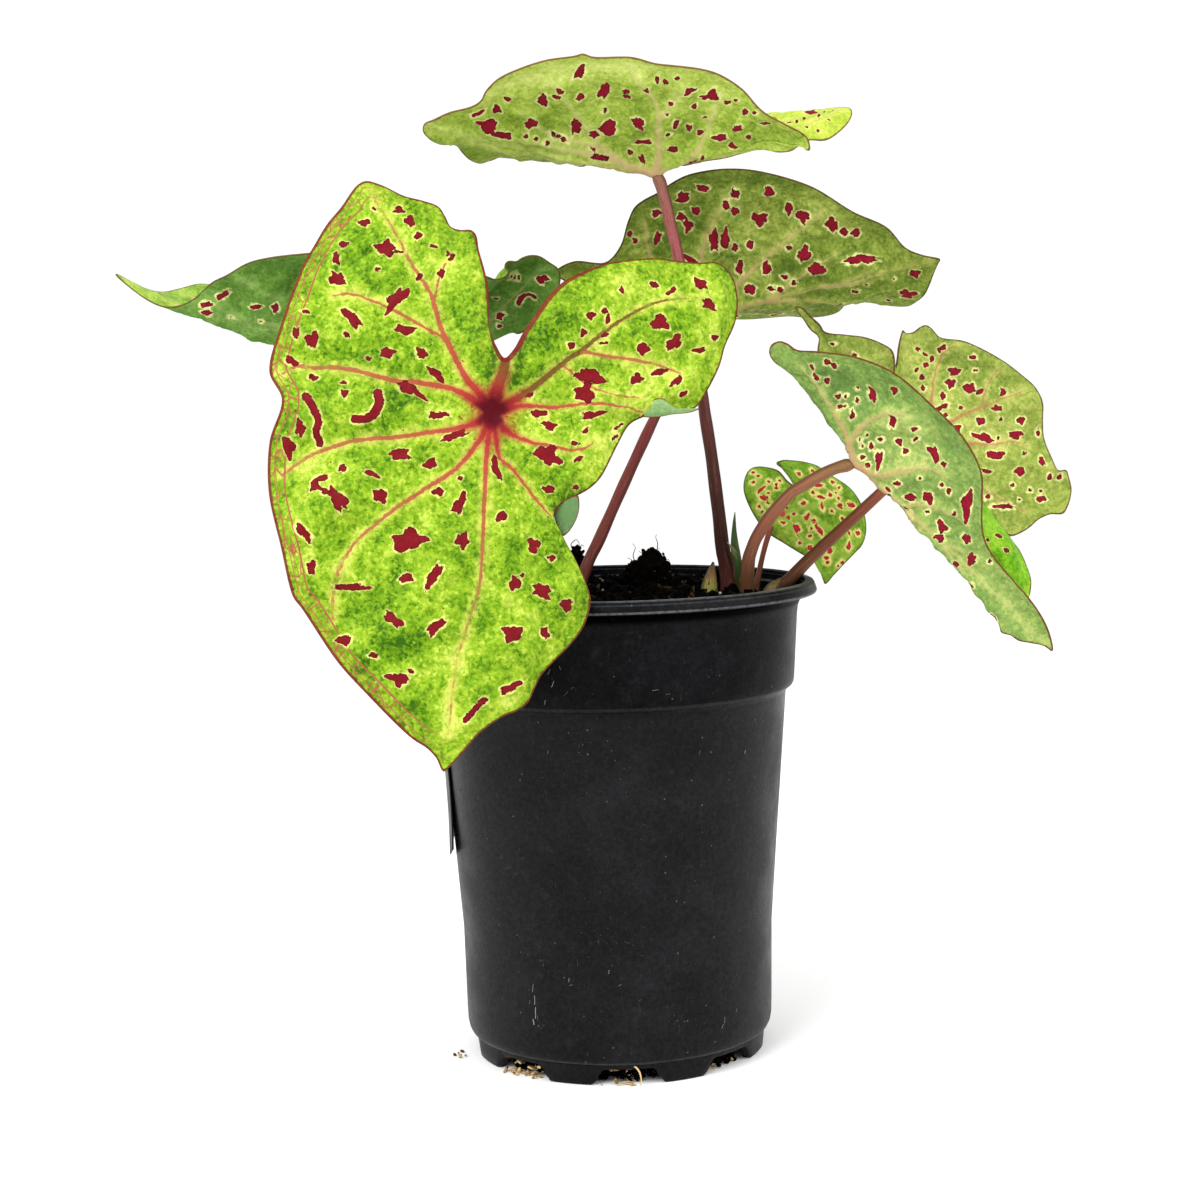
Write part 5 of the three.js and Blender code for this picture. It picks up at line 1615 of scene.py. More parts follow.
stalkFinishes = {
    "tan": {
        "stops": [(0.0, (84, 62, 34)), (0.3, (112, 70, 50)), (0.6, (138, 84, 62)), (0.9, (132, 90, 62)),
                  (1.0, (122, 92, 58))],
        "streak": (96, 54, 38), "fleck": (84, 44, 34), "flecks": 0.25, "dark": (76, 40, 26),
    },
    "maroon": {
        "stops": [(0.0, (88, 40, 32)), (0.12, (60, 30, 22)), (0.32, (74, 40, 32)), (0.6, (104, 50, 46)),
                  (0.85, (150, 80, 80)), (1.0, (140, 96, 80))],
        "streak": (40, 16, 14), "fleck": (30, 12, 12), "flecks": 0.6, "dark": (46, 14, 22),
    },
    "wine": {
        "stops": [(0.0, (96, 48, 38)), (0.2, (122, 60, 52)), (0.5, (108, 46, 42)), (0.8, (118, 48, 50)),
                  (1.0, (140, 74, 68))],
        "streak": (84, 30, 32), "fleck": (72, 26, 28), "flecks": 0.35, "dark": (70, 22, 26),
    },
    "russet": {
        "stops": [(0.0, (92, 62, 38)), (0.2, (104, 64, 42)), (0.55, (126, 68, 50)), (0.85, (160, 86, 68)),
                  (1.0, (172, 96, 80))],
        "streak": (60, 26, 20), "fleck": (56, 24, 20), "flecks": 0.3, "dark": (62, 26, 18),
    },
}


soilLine = 133  # the height that the colours of stalks and shoots start at
stalkLook = {"streaks": (2.2, 2.2, 0.11), "flecks": (3.2, 3.2, 1.3), "shine": (196, 142, 120)}


def stalkMaterial(name, finish):
    paint = Paint(name, roughness=0.5, Specular_IOR_Level=0.12)
    skin = paint.attribute("skin", vector=True)
    colour = paint.ramp(paint.attribute("share"), finish["stops"])
    streaks = paint.noise(paint.stretched(skin, stalkLook["streaks"]), 1, detail=5, rough=0.65)
    colour = paint.over(paint.span(streaks, 0.45, 0.72, 0, 0.5), colour, finish["streak"])
    colour = paint.over(paint.span(streaks, 0.28, 0.46, 0.22, 0), colour, stalkLook["shine"])
    flecks = paint.noise(paint.stretched(skin, stalkLook["flecks"]), 1, detail=3, rough=0.7)
    colour = paint.over(paint.span(flecks, 0.54, 0.68, 0, finish["flecks"]), colour, finish["fleck"])
    # one side is flushed darker
    flush = paint.axis(paint.attribute("side", vector=True), 0)
    paint.colour(paint.over(paint.span(flush, 0.3, 0.95, 0, 0.7), colour, finish["dark"]))
    paint.bump(streaks, 0.25, 0.3)
    return paint.material


tuck = {"reach": 9, "depth": 0.3}


# Keeps a stalk's end under its blade.
def tuckUnder(points, flatBlade):
    rays = flatBlade.rays[:-1]
    unit = rays / np.linalg.norm(rays, axis=1)[:, None]
    tucked = points.copy()
    for i in np.nonzero(np.linalg.norm(points - flatBlade.hub, axis=1) < tuck["reach"])[0]:
        away = points[i] - flatBlade.hub
        level = away - flatBlade.upper * (away @ flatBlade.upper)
        k = int(np.argmax(unit @ level))
        share = np.linalg.norm(level) / np.linalg.norm(rays[k])
        blade = flatBlade.surface(np.array([share]), np.array([flatBlade.angles[k]]))[0]
        over = (points[i] - blade) @ flatBlade.upper + tuck["depth"]
        if over > 0:
            tucked[i] = points[i] - flatBlade.upper * over
    return tucked


stalkShape = {
    "sides": 28,
    "collar": (0.12, 3),  # how much it swells below the blade, and over what length
    "tip": (0.5, 1.2),  # how much its end narrows
    "uneven": (0.03, 22),
    "flutes": 3,
    "fluteDepth": 0.025,
    "twist": 0.04,  # radians a millimetre
}


def addStalk(name, stalk, seed):
    leaf = blades[stalk["leaf"]]
    rows = np.array(leaf["stalk"], float)
    path = smoothLine(rows[:, :3], 1.0)
    steps, run = lengthsAlong(rows[:, :3]), lengthsAlong(path)
    radii = np.interp(run / run[-1] * steps[-1], steps, rows[:, 3])
    (swell, collar), (narrow, tip) = stalkShape["collar"], stalkShape["tip"]
    uneven, length = stalkShape["uneven"]
    toHub = run[-1] - run
    radii = radii * (1 + swell * bell(toHub, collar) - narrow * bell(toHub, tip))
    radii = radii * (1 + uneven * ripples(run[:, None], length, seed))
    points, faces, skin = tube(path, radii, stalkShape["sides"])
    turn = stalkShape["flutes"] * np.arctan2(skin[:, 1], skin[:, 0]) + skin[:, 2] * stalkShape["twist"]
    centre = readAlong(skin[:, 2], run, path)
    points = centre + (points - centre) * (1 + stalkShape["fluteDepth"] * np.sin(turn))[:, None]
    points = tuckUnder(points, FlatBlade(leaf))
    above = (points[:, 2] - soilLine) / (leaf["hub"][2] - soilLine)
    material = stalkMaterial(stalk["finish"] + name[4:], stalkFinishes[stalk["finish"]])
    flush = (points - centre) @ np.array(stalk.get("flush", (1, 0, 0)))
    side = np.column_stack([flush / np.maximum(np.linalg.norm(points - centre, axis=1), 0.01), above, above])
    attributes = {"skin": skin, "share": np.clip(above, 0, 1), "side": side}
    piece = makePiece(name, points, faces, [material], attributes)
    standFor(piece, stalk["node"])


for number, (name, stalk) in enumerate(stalks.items()):
    addStalk(name, stalk, 300 + number)

shoots = {
    "shootCone": {
        "node": "shoot_cone", "slot": "shoot_pale", "finish": "cone",
        "rows": [
            (32, -9, 113, 1.6), (29.5, -10, 126, 2.2), (28.5, -10, 134, 2.45), (28.7, -10, 137, 2.1),
            (29.2, -10, 140, 1.3), (29.7, -10, 143, 0.3),
        ],
    },
    "shootSpear": {
        "node": "shoot_spear", "slot": "shoot_green", "finish": "spear",
        "rows": [
            (39.4, -7.6, 127, 1.2), (37.2, -8, 138, 1.45), (36.8, -8, 141.8, 1.45), (36.4, -8, 145, 1.35),
            (36.1, -8, 147.8, 1.15), (36, -8, 151.3, 0.75), (36.1, -8, 154.5, 0.42), (36.3, -8, 157, 0.12),
        ],
    },
    "shootBract": {
        "node": "shoot_bract", "slot": "shoot_green", "finish": "bract",
        "rows": [
            (38.4, -11.4, 128, 0.9), (37.9, -11.4, 134.5, 0.9), (37.6, -11.4, 137.7, 0.95),
            (37.2, -11.4, 140.3, 1.1), (36.7, -11.3, 143.2, 1.05), (35.8, -11, 145.5, 0.8),
            (34.8, -10.8, 147.3, 0.35), (33.8, -10.6, 148.7, 0.1),
        ],
    },
    "shootSheath": {
        "node": "shoot_sheath", "slot": "shoot_pale", "finish": "sheath",
        "rows": [
            (44.6, -7.8, 124, 2.3), (45.2, -7.4, 131, 2.3), (46.4, -6.6, 134.1, 1.9),
            (47.8, -5.8, 135.7, 1.3), (49.4, -5, 137.1, 0.3),
        ],
    },
}

shootFinishes = {
    "cone": [(0.0, (128, 134, 38)), (0.35, (150, 142, 70)), (0.6, (134, 104, 62)), (0.85, (104, 74, 44)),
             (1.0, (36, 20, 16))],
    "spear": [(0.0, (52, 50, 28)), (0.4, (84, 72, 54)), (0.62, (60, 84, 48)), (0.85, (50, 80, 40)),
              (1.0, (64, 84, 50))],
    "bract": [(0.0, (52, 70, 26)), (0.4, (34, 66, 16)), (0.75, (52, 84, 30)), (0.92, (120, 112, 74)),
              (1.0, (140, 116, 84))],
    "sheath": [(0.0, (96, 78, 46)), (0.5, (134, 112, 74)), (1.0, (96, 72, 42))],
}


shootLook = {"streaks": (3, 3, 0.25), "dark": (58, 44, 22), "shine": (170, 168, 104), "right": (50, 34, 18)}
shootShape = {"sides": 24, "step": 0.5, "thinnest": 0.08, "wrap": 0.16, "twist": 0.05}


def shootMaterial(name, stops):
    paint = Paint(name, roughness=0.55, Specular_IOR_Level=0.12)
    skin = paint.attribute("skin", vector=True)
    colour = paint.ramp(paint.attribute("share"), stops)
    veins = paint.noise(paint.stretched(skin, shootLook["streaks"]), 1, detail=4)
    colour = paint.over(paint.span(veins, 0.5, 0.68, 0, 0.6), colour, shootLook["dark"])
    colour = paint.over(paint.span(veins, 0.3, 0.45, 0.4, 0), colour, shootLook["shine"])
    # the right side is darker
    paint.colour(paint.over(paint.span(paint.axis(skin, 0), 0.3, 1.6, 0, 0.75), colour, shootLook["right"]))
    paint.bump(veins, 0.2, 0.3)
    return paint.material


def addShoot(name, shoot):
    rows = np.array(shoot["rows"], float)
    path = smoothLine(rows, shootShape["step"])
    radii = np.maximum(path[:, 3], shootShape["thinnest"])
    points, faces, skin = tube(path[:, :3], radii, shootShape["sides"])
    run = skin[:, 2]
    centre = readAlong(run, lengthsAlong(path[:, :3]), path[:, :3])
    # one turn of a rolled leaf: its radius grows round the shoot and steps back at the edge
    turn = (np.arctan2(skin[:, 1], skin[:, 0]) + run * shootShape["twist"]) / (2 * math.pi) + 0.5
    wrap = 1 + shootShape["wrap"] * (turn % 1 - 0.5)
    points = centre + (points - centre) * wrap[:, None]
    share = np.clip((points[:, 2] - soilLine) / (rows[-1, 2] - soilLine), 0, 1)
    material = shootMaterial(name + "Skin", shootFinishes[shoot["finish"]])
    piece = makePiece(name, points, faces, [material], {"skin": skin, "share": share})
    standFor(piece, shoot["node"])


for name, shoot in shoots.items():
    addShoot(name, shoot)
print("young shoots done")

pot = {
    "sides": 240,
    "longest": 6,  # between two rings of points
    "foot": [(39.9, 0.0), (42.1, 0.0), (42.5, 0.4), (42.7, 2.6), (42.85, 5.8)],
    "wall": [(43.45, 6.1), (43.95, 6.5), (44.5, 7.6), (44.85, 9.4), (45.0, 13), (45.4, 37), (47.1, 60),
             (48.6, 79), (49.6, 92), (50.55, 104.7), (50.75, 105.4), (51.5, 106.2), (52.5, 107.0),
             (52.9, 107.7), (53.1, 109), (54.2, 127.4), (54.45, 129.6), (55.1, 131.4), (56.2, 132.5),
             (57.9, 133.1), (59.3, 133.4), (59.8, 133.6), (60.0, 133.95), (59.95, 134.4), (59.7, 135.2),
             (59.35, 136.2), (59.0, 136.75), (58.4, 137.05)],
    "inside": [(57.2, 137.1), (56.5, 136.75), (56.1, 136.2), (54.6, 133.0), (53.9, 131.6), (53.2, 129.2),
               (51.8, 108.2), (51.3, 107.3), (49.6, 106.2), (49.3, 105.2), (47.4, 79), (44.2, 37), (43.5, 13),
               (42.8, 8.8), (41, 6)],
    "feet": 8,
    "firstGap": 2.6,
    "footTop": 5.8,
    "gapHigh": 4.5,
    "gapLow": 21,
    "gapTop": 14.2,
    "footRadius": 42.6,
    "footInside": (39.9, 5.2),
    "floor": (4.6, 6.0),
    "floorRings": (0.5, 41.5),
    "slot": {"inner": 33, "outer": 38.6, "middle": 36, "width": 11},
    "ring": {"angle": -6.5, "height": 29.5, "size": 2.1, "wall": 45.05, "bead": 0.16},
    "sharp": 50,  # degrees from which an edge is sharp
}


# The turn of a place given in degrees from the front.
def fromFront(degrees):
    return math.radians(degrees - 90)


# How far up the foot is cut away at an angle round the pot.
def footRise(angle):
    pitch = 2 * math.pi / pot["feet"]
    middle = fromFront(pot["firstGap"])
    off = np.abs((angle - middle + pitch / 2) % pitch - pitch / 2) * pot["footRadius"]
    return pot["gapHigh"] * (1 - smoothStep(off, pot["gapTop"] / 2 - 0.3, pot["gapLow"] / 2 + 0.3))


def addPot():
    heap = Heap()
    rows = np.array(pot["foot"] + pot["wall"] + pot["inside"])
    fine = [rows[:1]]
    for a, b in zip(rows[:-1], rows[1:]):
        count = max(1, int(np.linalg.norm(b - a) / pot["longest"]))
        fine.append(a + (b - a) * (np.arange(count) + 1)[:, None] / count)
    sides, turn = pot["sides"], fullTurn(pot["sides"])
    rise = footRise(turn)
    rings = [onCircle(radius, turn, height + rise * max(0, 1 - height / pot["footTop"]))
             for radius, height in np.vstack(fine)]
    rings.append(onCircle(pot["footInside"][0], turn, pot["footInside"][1]))
    faces = ringFaces(len(rings), sides)
    last = (len(rings) - 1) * sides
    faces += [(last + k, last + (k + 1) % sides, (k + 1) % sides, k) for k in range(sides)]
    heap.put(np.vstack(rings), faces)

    # floor: a disc, an outer ring and the bars between the drain slots
    low, high = pot["floor"]
    slot = pot["slot"]

    def block(inner, outer, start, end, steps):
        ring = [(inner, low), (outer, low), (outer, high), (inner, high)]
        points = [onCircle(radius, angle, height)
                  for angle in np.linspace(start, end, steps) for radius, height in ring]
        last = 4 * (steps - 1)
        heap.put(points, ringFaces(steps, 4) + [(3, 2, 1, 0), (last, last + 1, last + 2, last + 3)])

    block(pot["floorRings"][0], slot["inner"] + 0.2, 0, 2 * math.pi, 97)
    block(slot["outer"] - 0.2, pot["floorRings"][1], 0, 2 * math.pi, 145)
    pitch, half = 2 * math.pi / pot["feet"], slot["width"] / 2 / slot["middle"]
    for i in range(pot["feet"]):
        middle = fromFront(pot["firstGap"]) + i * pitch
        block(slot["inner"] - 0.5, slot["outer"] + 0.5, middle + half, middle + pitch - half, 17)

    # the small moulded ring on the wall
    ring = pot["ring"]
    turn = np.arange(37) * math.pi / 18
    side = fromFront(ring["angle"]) + ring["size"] * np.cos(turn) / ring["wall"]
    heap.putTube(onCircle(ring["wall"], side, ring["height"] + ring["size"] * np.sin(turn)), ring["bead"], 8)

    piece = heap.piece("nurseryPot", potMaterial())
    piece.data.set_sharp_from_angle(angle=math.radians(pot["sharp"]))
    standFor(piece, "pot")


plastic = {
    "tones": [(0.36, (1, 1, 2)), (0.5, (8, 8, 10)), (0.64, (20, 19, 21))],
    "dust": (44, 43, 44),
    "specks": [(2.6, 0.5), (1.2, 0.35)],  # spacing and strength
    "speck": (104, 104, 106),
    "scratch": (92, 92, 94),
    "scratches": (1.6, 1.6, 0.16),
    "paintedHighlight": (82, 84, 88),
    # painted highlights along the edges of the lip, the collar and the foot: height, width, strength
    "veinShareAndPaintedHighlights": [(137.0, 0.3, 0.6), (136.0, 0.25, 0.25), (133.95, 0.4, 0.9), (106.9, 0.7, 0.12),
             (6.5, 0.35, 0.3)],
    "paintedLipShade": (131.6, 133.3),  # painted shade in the hollow below the lip, between these heights
    "collar": (103, 108),  # the gloss falls from the wall to the collar, and rises at the lip
    "collarGloss": (0.105, 0.045),
    "lip": (132.9, 133.4),
    "lipGloss": 0.03,
    "inside": (56.1, 56.5),  # radii and heights inside which nothing shines
    "insideHeights": (132.6, 133),
}


def potMaterial():
    paint = Paint("blackPlastic", roughness=0.4)
    place = paint.place()
    height = paint.axis(place, 2)
    cloud = paint.noise(place, 20, detail=6, rough=0.65)
    speckle = paint.noise(place, 1.3, detail=5, rough=0.8)
    fine = paint.noise(place, 0.45, detail=3)
    colour = paint.ramp(paint.add(paint.times(cloud, 0.7), paint.times(speckle, 0.3)), plastic["tones"])
    dust = paint.span(paint.noise(place, 7, detail=8, rough=0.8), 0.52, 0.72, 0, 0.3)
    colour = paint.over(dust, colour, plastic["dust"])
    for size, share in plastic["specks"]:
        chosen = paint.span(paint.lots(place, size), 0.76, 0.8, 0, share)
        specks = paint.times(paint.span(paint.cells(place, size), 0.05, 0.12, 1, 0), chosen)
        colour = paint.over(specks, colour, plastic["speck"])
    # faint scratches along the wall
    scratch = paint.noise(paint.stretched(place, plastic["scratches"]), 1, detail=6, rough=0.8)
    colour = paint.over(paint.span(scratch, 0.62, 0.7, 0, 0.3), colour, plastic["scratch"])
    # painted highlights: pale grey bands along the edges of the lip, the collar and the foot
    for at, wide, share in plastic["veinShareAndPaintedHighlights"]:
        band = paint.band(height, at, wide / 2, wide, share)
        band = paint.times(band, paint.span(speckle, 0.36, 0.6, 0.35, 1))
        colour = paint.over(band, colour, plastic["paintedHighlight"])
    # painted shade: the hollow under the lip is painted black and loses its gloss
    low, high = plastic["paintedLipShade"]
    paintedLipShade = paint.span(height, low - 2.2, low, 0, 0.9)
    paintedLipShade = paint.times(paintedLipShade, paint.span(height, high - 0.3, high + 0.1, 1, 0))
    paint.colour(paint.over(paintedLipShade, colour, (0, 0, 0)))

    gloss = paint.add(paint.span(height, *plastic["collar"], *plastic["collarGloss"]),
                      paint.span(height, *plastic["lip"], 0, plastic["lipGloss"]))
    level = paint.stretched(place, (1, 1, 0))
    radius = paint.node("VectorMath", {0: level}, operation="LENGTH").outputs["Value"]
    within = paint.span(radius, *plastic["inside"], 1, 0)
    within = paint.times(within, paint.span(height, *plastic["insideHeights"]))
    for dull in (paintedLipShade, within):
        gloss = paint.times(gloss, paint.math("SUBTRACT", 1.0, dull))
    paint.gloss(paint.times(gloss, paint.span(speckle, 0.35, 0.65, 0.8, 1.2)))
    paint.rough(paint.span(cloud, 0.3, 0.7, 0.3, 0.5))
    paint.bump(paint.add(fine, speckle), 0.1, 0.3)
    return paint.material


# Darkest and lightest colour of everything loose.
looseColours = {
    "wallDust": ((34, 34, 34), (132, 132, 130)),
    "darkMix": ((0, 0, 0), (19, 13, 10)),
    "bark": ((8, 5, 3), (76, 56, 36)),
    "paleGrains": ((60, 54, 48), (186, 182, 174)),
    "fibre": ((10, 7, 5), (80, 60, 40)),
    "gapCrumbsAndShade": ((1, 0, 0), (20, 14, 10)),
    "straw": ((74, 50, 30), (206, 178, 130)),
}


def looseMaterial(name):
    paint = Paint(name, roughness=1, Specular_IOR_Level=0.03)
    dark, light = looseColours[name]
    grainy = paint.noise(paint.place(), 1.6, detail=6, rough=0.75)
    share = paint.add(paint.attribute("tone"), paint.times(paint.add(grainy, -0.5), 0.7))
    paint.colour(paint.mix(paint.span(share, 0.0, 1.0), tint(dark), tint(light)))
    paint.bump(grainy, 0.6, 0.7)
    return paint.material


# Pale scuffs and specks of dust on the wall: degrees from the front, height, length, lean and width.
scuffs = {
    "marks": [
        (-32.5, 27.2, 2.2, 0.1, 0.3), (-31.9, 23.8, 2.6, 0, 0.22), (-31.7, 20.1, 3.4, 0.05, 0.28),
        (-32.7, 17.4, 1.6, -0.2, 0.35), (-34.1, 23, 1.4, 0.2, 0.16), (-30.9, 18.7, 1.6, 0, 0.16),
        (-18.7, 117.7, 1.6, 0.5, 0.22), (-17.7, 114.4, 2, 0.4, 0.2), (-15.3, 118.9, 1.2, -0.3, 0.16),
        (-13.9, 111.8, 1.6, 0.7, 0.18), (-20.4, 109.4, 1.2, 0.2, 0.2), (-12, 113.4, 1, 0.9, 0.15),
        (-43.5, 63.5, 2.6, 1.2, 0.1), (-40.1, 61, 2.2, 1.35, 0.1), (-36.7, 59.6, 1.4, 0.9, 0.1),
        (-18.1, 30.6, 1.2, 0.3, 0.2), (-17.4, 29.2, 1, 1.3, 0.16), (-3.7, 33.2, 1.2, 0.2, 0.2),
        (0, 29.4, 1, 1.2, 0.14), (40.5, 15.6, 1.8, 0.1, 0.25), (39.5, 14, 1.4, 0.6, 0.2),
        (46.8, 17.4, 1.2, -0.3, 0.18), (-21.4, 95.2, 0.9, 0.1, 0.2), (-32.1, 86.8, 0.8, 0.3, 0.16),
        (28, 93.7, 1.2, 0.2, 0.16), (12.2, 112.3, 1.6, 1.5, 0.14), (16.1, 111, 1.2, 1.4, 0.12),
        (6.9, 24.9, 1, 0.8, 0.14), (-64.9, 80.5, 1.2, 0.1, 0.18), (47.1, 91.7, 1, 0, 0.2),
    ],
    # degrees from the front, height, reach and how many specks
    "dust": [(-10, 92, 9, 26), (-30, 38, 8, 16), (2, 41, 9, 16), (20, 20, 8, 10), (-4, 97, 6, 16),
             (-27, 18, 4, 8)],
}


def addScuffs():
    draw = np.random.default_rng(63)
    bits = Heap()
    radii, heights = np.transpose(pot["wall"])

    def place(degrees, height):
        return onCircle(np.interp(height, heights, radii) + 0.01, fromFront(degrees), height)

    for degrees, height, long, lean, wide in scuffs["marks"]:
        ends = [place(degrees + k * long * math.sin(lean) * 1.2 / 2, height + k * long * math.cos(lean) / 2)
                for k in (-1, -0.3, 0.4, 1)]
        line = smoothLine(ends + draw.normal(0, 0.04, (4, 3)), 0.3)
        bits.putTube(line, wide / 2, 5, draw.uniform(0.4, 1) * min(1, wide / 0.24))
    for degrees, height, reach, count in scuffs["dust"]:
        for _ in range(count):
            spot = place(degrees + draw.normal(0, reach / 2) * 1.2, height + draw.normal(0, reach / 2))
            corners, faces = grain(draw, draw.uniform(0.06, 0.16, 3), 0.3)
            bits.put(corners + spot, faces, draw.uniform(0, 0.7))
    standFor(bits.piece("wallDust", looseMaterial("wallDust")), None)


addPot()
addScuffs()
print("pot done")

mix = {
    "surface": 133.6,
    "sagging": (36, 50, 4.2),  # from where to where it falls towards the right side of the lip, and how far
    "waves": [(0.55, 7, 5), (0.4, 3, 6), (0.25, 1.5, 7)],  # height, length and seed
    "radius": 53.6,
    "sides": 200,
    "rings": 60,
    "below": [(52.8, 129.2), (51.4, 108.2), (49.1, 106), (43.9, 37), (40.5, 6.4)],  # radii and heights
    "crumbs": 1500,
    "crumbSizes": {0.5: 0.35, 0.8: 0.35, 1.2: 0.2, 1.9: 0.1},  # sizes and their shares
    "bark": 110,
    "drift": {"bits": 46, "x": (11, 27), "y": (-49, -38)},  # paler bits behind the front of the lip
    "perlite": 28,
    "paleGrains": [(13.5, 13.2, 138.6), (10.2, 13.6, 137.2), (16.5, 14.6, 136.4), (7.2, 15.4, 136.8),
                   (18, 15, 138.2)],
    "fibres": 150,
    "lumps": [
        {"centre": (12.6, 18, 136), "radii": (5.6, 5, 8.8), "roots": 70},
        {"centre": (8.2, 19, 136), "radii": (3.8, 4, 5.4), "roots": 26},
        {"centre": (-10, 31, 137), "radii": (3.0, 3.2, 8.0), "roots": 34},
    ],
    "lumpWaves": [(0.1, 1.1, 11), (0.07, 0.4, 12), (0.05, 0.18, 13)],
    "lumpGrains": 22,  # for each millimetre of its height
    "hairs": [
        [(14.2, 18, 143), (14.6, 18, 146.5), (14.1, 17.8, 148.3), (14.3, 17.6, 149.3)],
        [(8.4, 17.5, 140), (7.2, 17, 143), (7.9, 17, 145.5), (7.1, 16.8, 146.8)],
        [(8.2, 17, 140.5), (6.3, 16.5, 142.2), (5.4, 16.4, 142.6)],
        [(-10.6, 30, 143.5), (-11.4, 29.8, 146), (-9.8, 29.6, 147.4), (-8.9, 29.6, 146), (-9.7, 29.8, 145)],
        [(-9, 30, 144), (-8.2, 29.8, 145.8), (-7.4, 29.6, 145.2)],
        [(28.0, -12.0, 135.7), (28.1, -12.2, 136.8), (28.4, -12.0, 137.9)],
        [(28.25, -12.0, 135.8), (28.35, -12.2, 136.8), (28.6, -12.0, 137.6)],
    ],
}


def surfaceHeight(x, y):
    ripple = 0.5 * np.sin(x * 0.45 + 1.3) * np.cos(y * 0.38) + 0.3 * np.sin(x * 0.9 - y * 0.7)
    start, end, fall = mix["sagging"]
    return mix["surface"] + ripple - smoothStep(x, start, end) * fall


def waves(points, table):
    return sum(height * ripples(points, length, seed) for height, length, seed in table)


def anyWay(draw, stretch=1):
    out = draw.normal(size=3) * stretch
    return out / np.linalg.norm(out)


# A place on the mix, away from the wall.
def anyPlace(draw, margin=2):
    x, y, _ = onCircle((mix["radius"] - margin) * math.sqrt(draw.uniform()), draw.uniform(0, 2 * math.pi), 0)
    return np.array([x, y, surfaceHeight(x, y)])


def addMix(draw):
    heap = Heap()
    turn = fullTurn(mix["sides"])
    levels = [mix["radius"] * math.sqrt((k + 0.5) / mix["rings"]) for k in range(mix["rings"])]
    levels.append(mix["radius"])
    rings = []
    for radius in levels:
        flat = onCircle(radius, turn, 0)[:, :2]
        rise = waves(flat, mix["waves"]) * (radius < mix["radius"] - 0.5)
        rings.append(onCircle(radius, turn, surfaceHeight(*flat.T) + rise))
    rings += [onCircle(radius, turn, height) for radius, height in mix["below"]]
    faces = [face[::-1] for face in ringFaces(len(rings), len(turn))]
    count = len(rings) * len(turn)
    faces += [tuple(range(len(turn))), tuple(range(count - len(turn), count))[::-1]]
    heap.put(np.vstack(rings), faces, 0.2)

    sizes, shares = zip(*mix["crumbSizes"].items())
    for _ in range(mix["crumbs"]):
        size = draw.choice(sizes, p=shares) * draw.uniform(0.8, 1.3)
        corners, faces = grain(draw, size * draw.uniform(0.7, 1.2, 3), 0.3)
        heap.put(corners + anyPlace(draw) + (0, 0, size * 0.35), faces, draw.uniform(0, 0.5))
    for lump in mix["lumps"]:
        centre, radii = np.array(lump["centre"], float), np.array(lump["radii"], float)
        corners, faces = fineBall
        heap.put(centre + corners * radii * (1 + waves(corners, mix["lumpWaves"]))[:, None], faces, 0.4)
        for _ in range(int(radii[2] * mix["lumpGrains"])):
            out = anyWay(draw)
            size = draw.uniform(0.35, 0.95)
            corners, faces = grain(draw, size * draw.uniform(0.6, 1.2, 3), 0.3)
            place = centre + out * radii * draw.uniform(0.94, 1.06)
            heap.put(corners + place, faces, draw.uniform(0.1, 0.9))
    standFor(heap.piece("pottingMix", looseMaterial("darkMix")), "soil")


def addBark(draw):
    bark = Heap()
    for _ in range(mix["bark"]):
        size = draw.uniform(0.4, 1.5)
        corners, faces = grain(draw, (size * 1.5, size * 0.6, size * 0.35), 0.25)
        bark.put(corners + anyPlace(draw) + (0, 0, 0.5), faces, draw.uniform(0, 1))
    drift = mix["drift"]
    for _ in range(drift["bits"]):
        x, y = draw.uniform(*drift["x"]), draw.uniform(*drift["y"])
        place = (x, y, surfaceHeight(x, y) + draw.uniform(0.3, 1.8))
        size = draw.uniform(0.4, 1.2)
        corners, faces = grain(draw, (size * 1.3, size * 0.7, size * 0.5), 0.3)
        bark.put(corners + place, faces, draw.uniform(0.4, 1.3))
    standFor(bark.piece("barkBits", looseMaterial("bark")), None)


def addPerlite(draw):
    perlite = Heap()
    for _ in range(mix["perlite"]):
        corners, faces = grain(draw, draw.uniform(0.25, 0.7) * draw.uniform(0.8, 1.2, 3), 0.25)
        perlite.put(corners + anyPlace(draw) + (0, 0, 0.6), faces, draw.uniform(0.2, 1))
    for place in mix["paleGrains"]:
        corners, faces = grain(draw, (0.4, 0.4, 0.35), 0.25)
        perlite.put(corners + place, faces, 0)
    standFor(perlite.piece("perlite", looseMaterial("paleGrains")), None)


def addFibres(draw):
    fibres = Heap()
    for _ in range(mix["fibres"]):
        start, heading = anyPlace(draw, 4) + (0, 0, 0.3), draw.uniform(0, 2 * math.pi)
        path = [start]
        for _ in range(int(draw.integers(4, 10))):
            heading += draw.normal(0, 0.5)
            path.append(path[-1] + (math.cos(heading), math.sin(heading), draw.normal(0.02, 0.25)))
        fibres.putTube(smoothLine(path, 0.5), draw.uniform(0.08, 0.18), 5, draw.uniform(0, 1))
    for lump in mix["lumps"]:
        centre, radii = np.array(lump["centre"], float), np.array(lump["radii"], float)
        for _ in range(lump["roots"]):
            out = anyWay(draw, (1, 1, 1.2))
            path = [centre + out * radii * 0.95]
            for _ in range(int(draw.integers(3, 7))):
                out = out + draw.normal(0, 0.45, 3)
                out /= np.linalg.norm(out)
                path.append(path[-1] + out * draw.uniform(0.25, 0.6))
            line = smoothLine(path, 0.3)
            fibres.putTube(line, np.linspace(0.12, 0.04, len(line)), 5, draw.uniform(0, 0.7))
    for path in mix["hairs"]:
        line = smoothLine(path, 0.3)
        fibres.putTube(line, np.linspace(0.2, 0.07, len(line)), 6, 0.25)
    standFor(fibres.piece("rootFibres", looseMaterial("fibre")), None)


